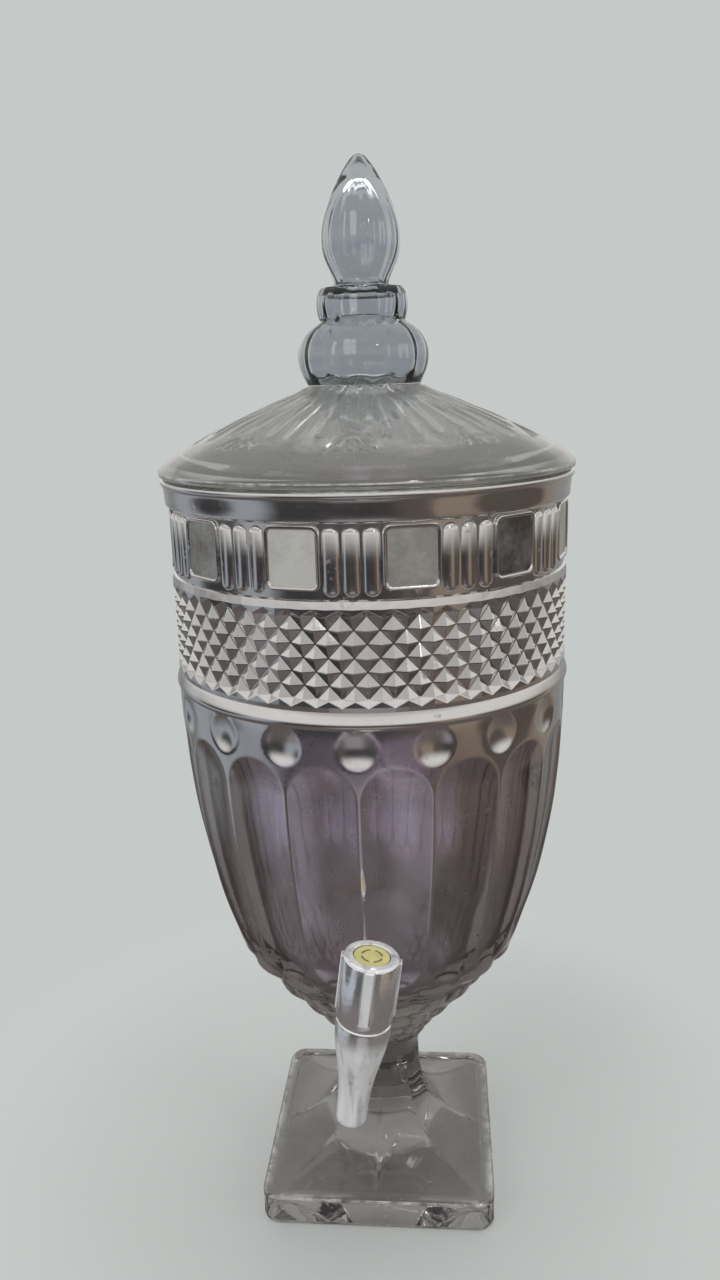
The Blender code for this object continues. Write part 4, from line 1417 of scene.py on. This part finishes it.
@dataclass
class Lid:
    """The low cone of the lid with its pressed rays and petals."""

    seat: float = 0.39362
    rim_radius: float = 0.1004
    crown: float = 0.43322
    crown_radius: float = 0.0275
    opening: float = 0.0195
    skirt: float = 0.0898
    skirt_inner: float = 0.0866
    skirt_foot: float = 0.3857
    edge_ease: float = 0.0006
    repeats: int = 9
    petals: tuple[tuple[float, float, float], ...] = (
        (0.0, 0.0052, 0.0700), (0.5, 0.0060, 0.0800), (0.27, 0.0036, 0.0745), (-0.27, 0.0036, 0.0745))
    petal_depth: float = 0.0009
    fans: tuple[float, ...] = (-1.0, -0.45, 0.0, 0.45, 1.0)
    fan_foot: float = 0.0700
    fan_middle: float = 0.0065
    fan_reach: float = 0.0055
    fan_spread: float = 0.95
    ray_width: float = 0.0011
    ray_depth: float = 0.0012
    plain_radius: float = 0.0960
    slope_radius: float = 0.0980
    slope: float = 0.48
    highlight_radius: float = 0.0999
    highlight_height: float = 0.3955
    steps: int = 540
    crisp_angle: float = 35

    def build(self, finish: bpy.types.Material) -> bpy.types.Object:
        """Lathe the lid and press its pattern.

        Args:
            finish: The lid's glass.

        Returns:
            The finished lid.
        """
        cone = curve_through([
            (self.crown_radius, self.crown), (0.0340, 0.4299), (0.0439, 0.4262), (0.0529, 0.4224),
            (0.0618, 0.4187), (0.0696, 0.4150), (0.0772, 0.4112), (0.0841, 0.4075), (0.0908, 0.4038),
            (0.0953, 0.4011), (0.0980, 0.3987)], 0.0015)
        rim = [(0.0994, 0.3977), (0.1002, 0.3969), (self.rim_radius, 0.3960), (self.rim_radius, 0.3950),
               (0.1002, 0.3943), (0.0996, 0.3938), (0.0988, self.seat), (self.skirt, self.seat),
               (self.skirt, self.skirt_foot + self.edge_ease),
               (self.skirt - self.edge_ease, self.skirt_foot),
               (self.skirt_inner + self.edge_ease, self.skirt_foot),
               (self.skirt_inner, self.skirt_foot + self.edge_ease)]
        under = curve_through([
            (self.skirt_inner, 0.3945), (0.0860, 0.3988), (0.0772, 0.4062), (0.0618, 0.4137),
            (0.0439, 0.4212), (0.0300, 0.4268), (self.opening, 0.4286)], 0.006)
        profile = [(self.opening, self.crown)] + cone + rim + under
        piece = lathe("lid_glass", profile, self.steps, True)
        self._press(piece)
        smooth(piece, self.crisp_angle)
        hand_over(piece, finish, Body.LID, ["lid"])
        return piece

    def _press(self, piece: bpy.types.Object) -> None:
        """Press the petals and the fans of rays into the top of the cone.

        Args:
            piece: The lid.
        """
        points = points_of(piece)
        radius = radius_of(points)
        angle = heading_of(points)
        cell = math.tau / self.repeats
        start = self.crown_radius
        top = (radius > start + 0.0005) & (radius < self.plain_radius)
        top &= points[:, 2] > self.seat + 0.0045 + (self.slope_radius - radius) * self.slope
        depth = np.zeros_like(radius)

        def across(petal: float) -> np.ndarray:
            """Return how far each point lies beside the nearest petal or fan."""
            return ((angle / cell - petal + 0.5) % 1 - 0.5) * cell * radius

        for petal, half_wide, end in self.petals:
            wide = half_wide * np.clip(0.35 + 0.65 * (radius - start) / (end - start), 0, 1)
            past = np.maximum(0, radius - end + half_wide) / half_wide
            inside = 1 - (across(petal) / wide) ** 2 - past ** 2
            depth = np.maximum(depth, self.petal_depth * softened(inside, 0.12))
        for fan in self.fans:
            along = radius - self.fan_foot
            off = across(0.0) - fan * along * self.fan_spread
            past = np.maximum(0, np.abs(along - self.fan_middle) - self.fan_reach) / 0.001
            inside = 1 - (off / self.ray_width) ** 2 - past
            depth = np.maximum(depth, self.ray_depth * softened(inside, 0.2))
        points[:, 2] -= np.where(top, depth * eased(radius, start, start + 0.0035), 0)
        set_points(piece, points)
        # Painted highlight: a bright line along the rim.
        worn = (radius > self.highlight_radius) & (np.abs(points[:, 2] - self.highlight_height) < 0.0012)
        paint(piece, "edge", worn)


@dataclass
class Finial:
    """The hollow finial: a bulb, a bead and a pointed flame."""

    base: float = 0.43352
    steps: int = 168
    ribs: int = 14
    rib_depth: float = 0.028
    crisp_angle: float = 40

    def build(self, finish: bpy.types.Material) -> bpy.types.Object:
        """Lathe the finial with its hollow.

        Args:
            finish: The clear bluish glass.

        Returns:
            The finished finial.
        """
        # From the base up the outside, and from the top of the hollow down to the base
        bulb = curve_through([
            (0.0271, self.base), (0.0284, 0.4364), (0.0301, 0.4401), (0.0311, 0.4443), (0.0312, 0.4483),
            (0.0304, 0.4520), (0.0282, 0.4561), (0.0250, 0.4592), (0.0214, 0.4615)], 0.0014)
        bead = curve_through([
            (0.0203, 0.4626), (0.0208, 0.4642), (0.0215, 0.4668), (0.0218, 0.4700), (0.0217, 0.4727),
            (0.0211, 0.4752), (0.0198, 0.4771)], 0.0012)
        flame = curve_through([
            (0.0140, 0.4784), (0.0128, 0.4795), (0.0132, 0.4812), (0.0151, 0.4853), (0.0171, 0.4896),
            (0.0184, 0.4940), (0.0187, 0.4983), (0.0184, 0.5026), (0.0176, 0.5068), (0.0162, 0.5111),
            (0.0145, 0.5153), (0.0126, 0.5196), (0.0101, 0.5238), (0.0076, 0.5281), (0.0045, 0.5323),
            (0.0026, 0.5342), (0.0011, 0.5349), (0.0, 0.5351)], 0.0014)
        hollow = curve_through([
            (0.0, 0.5225), (0.0030, 0.5218), (0.0065, 0.5186), (0.0098, 0.5140), (0.0128, 0.5075),
            (0.0143, 0.4995), (0.0136, 0.4925), (0.0110, 0.4858), (0.0088, 0.4805), (0.0100, 0.4772),
            (0.0150, 0.4752), (0.0177, 0.4732), (0.0184, 0.4700), (0.0180, 0.4665), (0.0180, 0.4630),
            (0.0225, 0.4580), (0.0266, 0.4525), (0.0280, 0.4465), (0.0270, 0.4405), (0.0240, 0.4362),
            (0.0215, self.base)], 0.0030)
        outside = bulb + bead + flame
        piece = lathe("finial_glass", outside[::-1] + hollow[::-1], self.steps)
        self._press_ribs(piece, np.array(outside))
        smooth(piece, self.crisp_angle)
        hand_over(piece, finish, Body.LID, ["finial"])
        return piece

    def _press_ribs(self, piece: bpy.types.Object, outside: np.ndarray) -> None:
        """Press soft upright ribs into the wall of the hollow.

        Args:
            piece: The finial.
            outside: The profile of its outside.
        """
        points = points_of(piece)
        radius = radius_of(points)
        wall = np.interp(points[:, 2], outside[:, 1], outside[:, 0])
        angle = np.arctan2(points[:, 1], points[:, 0])
        height = points[:, 2] - self.base
        inside = eased(wall - radius, 0.0006, 0.0014) * eased(height, 0.0005, 0.0040)
        points[:, :2] *= (1 - self.rib_depth * inside * (0.5 + 0.5 * np.cos(self.ribs * angle)))[:, None]
        set_points(piece, points)


@dataclass
class Tap:
    """The plated tap: body, turning knob and its yellow disc."""

    stand: float = 0.11502
    height: float = 0.1570
    lean: float = math.radians(8)
    steps: int = 96
    shank_steps: int = 48
    bore_steps: int = 32
    disc_steps: int = 72
    ribs: int = 4
    rib_size: tuple[float, float, float] = (0.0042, 0.0016, 0.0262)
    rib_ease: float = 0.0005
    groove_size: tuple[float, float, float] = (0.0006, 0.0010, 0.0262)
    groove_ease: float = 0.0001
    groove_side: float = 0.00245
    bar_middle: tuple[float, float] = (-0.0125, 0.0262)
    milky_radius: float = 0.01256
    ring_radius: float = 0.00445
    ring_half: float = 0.0004
    ring_level: float = 0.0392
    arc: tuple[float, float] = (14, 76)
    crisp_angle: float = 35
    disc_angle: float = 30

    @property
    def stance(self) -> Matrix:
        """Return the tap's place, with its barrel upright before it leans."""
        return Matrix.Translation((0, -self.stand, self.height)) @ Matrix.Rotation(self.lean, 4, "Y")

    def build(self, plating: bpy.types.Material, yellow: bpy.types.Material) -> list[bpy.types.Object]:
        """Make the tap's visible pieces.

        Args:
            plating: The plated finish.
            yellow: The disc's plastic.

        Returns:
            The body, knob and disc.
        """
        body, knob, disc = self._body(), self._knob(), self._disc()
        hand_over(body, plating, Body.BASE, ["tap_body"])
        hand_over(knob, plating, Body.KNOB, ["tap_knob"])
        hand_over(disc, yellow, Body.KNOB, ["knob_disc"])
        return [body, knob, disc]

    def _body(self) -> bpy.types.Object:
        """Turn the barrel and spout, and join the flange and shank on.

        Returns:
            The new piece.
        """
        outside = [(0.0075, 0.0088), (0.0116, 0.0088), (0.0121, 0.0083), (0.0122, 0.0076)]
        outside += curve_through([
            (0.0122, 0.0042), (0.0121, 0.0010), (0.0115, -0.0038), (0.0104, -0.0096), (0.0091, -0.0159),
            (0.0080, -0.0222), (0.0073, -0.0290), (0.0070, -0.0357), (0.0069, -0.0424)], 0.0016)
        outside += [(0.0067, -0.0431), (0.0062, -0.0434), (0.0053, -0.0434), (0.0048, -0.0430),
                    (0.0048, -0.0088), (0.0075, -0.0088)]
        body = lathe("tap_casting", outside, self.steps, True)
        paint(body, "satin", eased(points_of(body)[:, 2], 0.006, -0.004))
        place(body, self.stance)
        shank = lathe("shank", [
            (0, 0.0577), (0.0072, 0.0577), (0.0078, 0.0571), (0.0078, 0.0303), (0.0120, 0.0303),
            (0.0120, 0.0276), (0.0115, 0.0269), (0.0085, 0.0266), (0.0085, 0.0082),
            (0, 0.0082)], self.shank_steps)
        bore = lathe("bore", [(0, 0.0600), (0.0046, 0.0600), (0.0046, 0.0), (0, 0.0)], self.bore_steps)
        for shape, cut in ((shank, Cut.JOIN), (bore, Cut.CARVE)):
            place(shape, self.stance @ Matrix.Rotation(FRONT, 4, "X"))
            carve(body, shape, cut)
        smooth(body, self.crisp_angle)
        return body

    def _knob(self) -> bpy.types.Object:
        """Turn the knob's shell, add its ribs and sink the seat of its disc.

        Returns:
            The new piece.
        """
        outside = [(0.0, 0.0341), (0.0083, 0.0341), (0.0083, 0.0399), (0.0086, 0.0402), (0.0112, 0.0402),
                   (0.0118, 0.0400), (0.0122, 0.0395), (0.0125, 0.0388), (0.0125, 0.0250),
                   (0.0125, 0.0103), (0.0122, 0.0098), (0.0112, 0.0098), (0.0109, 0.0101), (0.0109, 0.0320),
                   (0.0, 0.0320)]
        knob = lathe("knob_shell", outside, self.steps)
        for k in range(self.ribs):
            turn = k * math.tau / self.ribs
            carve(knob, self._bar(turn, self.rib_size, 0.0, self.rib_ease), Cut.JOIN)
            for side in (-self.groove_side, self.groove_side):
                carve(knob, self._bar(turn, self.groove_size, side, self.groove_ease), Cut.CARVE)
        points = points_of(knob)
        milky = eased(points[:, 2], 0.0394, 0.0401) + (radius_of(points) > self.milky_radius)
        paint(knob, "satin", np.clip(milky, 0, 1) * 0.9)
        place(knob, self.stance)
        smooth(knob, self.crisp_angle)
        return knob

    def _bar(self, turn: float, size: tuple[float, float, float], side: float,
             ease: float) -> bpy.types.Object:
        """Model one upright bar with eased edges, for a grip rib or the groove beside it.

        Args:
            turn: The angle round the barrel.
            size: Width, depth and height.
            side: How far it lies beside the rib's middle.
            ease: The bevel of its edges.

        Returns:
            The new piece.
        """
        bar = begin(bpy.ops.mesh.primitive_cube_add, size=1.0)
        place(bar, Matrix.Diagonal((*size, 1)))
        edit(bar, "EDGE")
        pick_all()
        bpy.ops.mesh.bevel(offset=ease, segments=3, affect="EDGES")
        rest()
        place(bar, Matrix.Rotation(turn, 4, "Z") @ Matrix.Translation((side, *self.bar_middle)))
        return bar

    def _disc(self) -> bpy.types.Object:
        """Turn the thin disc and press its ring, which is inked in four arcs.

        Returns:
            The new piece.
        """
        disc = lathe("disc", [
            (0, 0.0398), (0.0038, 0.0398), (0.0041, 0.0397), (0.0048, 0.0397), (0.0051, 0.0398),
            (0.0070, 0.0398), (0.0076, 0.0398), (0.0079, 0.0395), (0.0079, 0.0389),
            (0, 0.0389)], self.disc_steps)
        points = points_of(disc)
        quarter = np.degrees(np.arctan2(points[:, 1], points[:, 0])) % 90
        ring = np.abs(radius_of(points) - self.ring_radius) < self.ring_half
        arc = (quarter > self.arc[0]) & (quarter < self.arc[1])
        inked = ring & arc & (points[:, 2] > self.ring_level)
        paint(disc, "mark", inked.astype(float))
        place(disc, self.stance)
        smooth(disc, self.disc_angle)
        return disc


@dataclass(frozen=True)
class Lamp:
    """One soft lamp: its name, place, width, height and power, and whether glossy pieces mirror it."""

    name: str
    spot: tuple[float, float, float]
    width: float
    height: float
    power: float
    mirrored: bool = False

    def hang(self, target: Vector) -> None:
        """Hang the lamp so that it looks at a target.

        Args:
            target: The point that it looks at.
        """
        rest()
        bpy.ops.object.light_add(type="AREA", location=self.spot)
        lamp = bpy.context.object
        lamp.name = self.name
        lamp.data.shape = "RECTANGLE"
        lamp.data.size = self.width
        lamp.data.size_y = self.height
        lamp.data.energy = self.power
        lamp.visible_camera = False
        lamp.visible_glossy = self.mirrored
        lamp.rotation_euler = (target - Vector(self.spot)).to_track_quat("-Z", "Y").to_euler()


@dataclass
class Studio:
    """The plain pale floor, the soft lights and the camera at the photograph's angle."""

    focal: float = 1001.8
    picture_height: float = 1280.0
    pitch: float = math.radians(14.69)
    roll: float = math.radians(1.66)
    yaw: float = math.radians(-0.65)
    swing: float = math.radians(4.3)
    distance: float = 0.4967
    eye_height: float = 0.4367
    sensor_height: float = 32.0
    nearest: float = 0.01
    pale: Colour = (0.56, 0.585, 0.575)
    floor_tones: tuple[Colour, Colour] = ((0.49, 0.51, 0.50), (0.52, 0.53, 0.52))
    floor_steps: int = 96
    floor_radius: float = 0.8
    floor_drop: float = 0.0003
    floor_fade: tuple[float, float] = (0.13, 0.32)
    aim: float = 0.28
    lamps: tuple[Lamp, ...] = (
        Lamp("window", (-0.95, -1.05, 1.15), 0.80, 1.10, 13.0),
        Lamp("fill", (1.35, -0.55, 0.75), 0.50, 0.90, 4.5),
        Lamp("ceiling", (0.10, 0.35, 1.75), 1.30, 1.00, 9.0),
        Lamp("sparkle", (0.75, -1.30, 1.25), 0.10, 0.16, 0.6, mirrored=True),
    )

    def build(self) -> None:
        """Set the floor, the world, the lamps and the camera."""
        self._floor()
        self._world()
        for lamp in self.lamps:
            lamp.hang(Vector((0, 0, self.aim)))
        self._camera()
        bpy.context.scene.view_settings.view_transform = "Standard"

    def _floor(self) -> None:
        """Lay a wide round floor that fades into the backdrop."""
        floor = begin(bpy.ops.mesh.primitive_circle_add, vertices=self.floor_steps, radius=self.floor_radius,
                      fill_type="NGON")
        place(floor, Matrix.Translation((0, 0, -self.floor_drop)))
        floor.name = "floor"
        floor.visible_glossy = False
        material = bpy.data.materials.new("pale_floor")
        material.use_nodes = True
        recipe = Recipe(material.node_tree)
        shader = material.node_tree.nodes["Principled BSDF"]
        grain = recipe.blend(recipe.noise(9.0, 3.0), *self.floor_tones)
        recipe.fill(shader, {"Roughness": 0.6, "Base Color": grain})
        x, y, _ = recipe.axes()
        far = recipe.ease((x * x + y * y) ** 0.5, *self.floor_fade)
        recipe.see_through(far, shader, (1.0, 1.0, 1.0, 1.0))
        floor.data.materials.append(material)

    def _world(self) -> None:
        """Make a pale backdrop, and a room that is darker in front for what glossy pieces mirror."""
        world = bpy.data.worlds.new("studio")
        world.use_nodes = True
        bpy.context.scene.world = world
        recipe = Recipe(world.node_tree)
        x, y, z = recipe.axes("Generated")
        left = 0.0 - x
        low = 0.0 - z
        pane = recipe.between(left, 0.66, 0.84, 0.91, 0.97) * recipe.ease(z, -0.72, -0.40)
        front = recipe.between(low, 0.34, 0.54, 0.78, 0.88)
        front = front * (1.0 - recipe.ease(x.size(), 0.16, 0.40))
        room = (0.055, 0.050, 0.051)
        for share, colour in (
                (recipe.ease(x, 0.15, 0.50), (0.11, 0.092, 0.082)),
                (recipe.ease(left, 0.10, 0.50), (0.05, 0.051, 0.055)),
                (recipe.between(x, 0.58, 0.64, 0.84, 0.90), (0.30, 0.24, 0.19)),
                (recipe.ease(y, 0.35, 0.92), (0.32, 0.325, 0.32)),
                (recipe.ease(low, 0.30, 0.70), (0.14, 0.12, 0.115)),
                (front, (0.32, 0.295, 0.315)),
                (pane, (0.38, 0.41, 0.45)),
                (recipe.ease(z, -0.18, 0.14), (0.86, 0.85, 0.83)),
                (recipe.ease(z, 0.28, 0.40), (0.56, 0.55, 0.54)),
                (recipe.ease(z, 0.46, 0.80), (0.88, 0.87, 0.85))):
            room = recipe.blend(share, room, colour)
        path = recipe.add("ShaderNodeLightPath")
        camera, through, spread = (
            Value(recipe, path.outputs[f"Is {kind} Ray"]) for kind in ("Camera", "Transmission", "Diffuse"))
        seen = camera.larger(through).larger(spread)
        backdrop = world.node_tree.nodes["Background"]
        recipe.fill(backdrop, {"Color": recipe.blend(seen, room, self.pale), "Strength": 1.0})

    def _camera(self) -> None:
        """Set the camera where the photograph was taken from."""
        camera = begin(bpy.ops.object.camera_add)
        camera.data.sensor_fit = "VERTICAL"
        camera.data.sensor_height = self.sensor_height
        camera.data.lens = self.focal / self.picture_height * self.sensor_height
        camera.data.clip_start = self.nearest
        right = Vector((math.cos(self.yaw), -math.sin(self.yaw), 0))
        ahead = Vector((math.sin(self.yaw), math.cos(self.yaw), 0))
        down = Vector((0, 0, -1))
        look = ahead * math.cos(self.pitch) + down * math.sin(self.pitch)
        up = ahead * math.sin(self.pitch) - down * math.cos(self.pitch)
        across = right * math.cos(self.roll) - up * math.sin(self.roll)
        over = right * math.sin(self.roll) + up * math.cos(self.roll)
        turned = Matrix((across, over, -look)).transposed().to_4x4()
        spot = Matrix.Translation((0, -self.distance, self.eye_height))
        camera.matrix_world = Matrix.Rotation(self.swing, 4, "Z") @ spot @ turned
        bpy.context.scene.camera = camera


def dress_nodes(finishes: dict[str, bpy.types.Material]) -> None:
    """Give the CAD nodes that stay their detailed materials.

    Args:
        finishes: The material of each node, by the node's name.
    """
    for name, material in finishes.items():
        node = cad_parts[name]
        for slot in node.material_slots:
            slot.material = material
        log.info("%s: %s", name, material.name)


def make_finishes() -> dict[str, bpy.types.Material]:
    """Make every finish once.

    Returns:
        The materials by name.
    """
    finishes = (
        SmokeGlass("foot_glass_finish", tint=(0.42, 0.40, 0.39), wave=0.08, haze=0.02,
                   highlit_edges=True, edge_roughness=0.30, thick=(0.125, 0.11, 0.107)),
        SmokeGlass("finial_glass_finish", tint=(0.635, 0.655, 0.69), wave=0.05),
        SmokeGlass("lid_glass_finish", tint=(0.50, 0.505, 0.485), roughness=0.06, wave=0.10, haze=0.10,
                   highlit_edges=True),
        LustreGlass("lustre"),
        SatinPanel("satin_panels"),
        Plating("plating"),
        Plating("steel", colour=(0.55, 0.55, 0.56), roughness=0.25),
        MouldedPlastic("yellow_plastic", colour=(0.62, 0.56, 0.24), ink=(0.07, 0.07, 0.05)),
        MouldedPlastic("white_nylon", colour=(0.78, 0.77, 0.74), grime=0.2),
        MouldedPlastic("silicone", colour=(0.62, 0.62, 0.60), roughness=0.5),
        MouldedPlastic("rubber", colour=(0.03, 0.03, 0.03), roughness=0.6),
    )
    return {finish.name: finish.build() for finish in finishes}


def main() -> None:
    """Build the dispenser from the foot up, then its studio."""
    logging.basicConfig(level=logging.INFO, format="%(message)s")
    finishes = make_finishes()
    Foot().build(finishes["foot_glass_finish"])
    Bowl().build(finishes["lustre"], finishes["satin_panels"])
    Lid().build(finishes["lid_glass_finish"])
    Finial().build(finishes["finial_glass_finish"])
    Tap().build(finishes["plating"], finishes["yellow_plastic"])
    dress_nodes({
        "tap_bonnet": finishes["white_nylon"], "tap_plug": finishes["white_nylon"],
        "lock_nut": finishes["white_nylon"], "outer_gasket": finishes["silicone"],
        "inner_gasket": finishes["silicone"], "plug_o_ring_upper": finishes["rubber"],
        "plug_o_ring_lower": finishes["rubber"], "knob_screw": finishes["steel"]})
    Studio().build()
    rest()


if __name__ == "__main__":
    main()
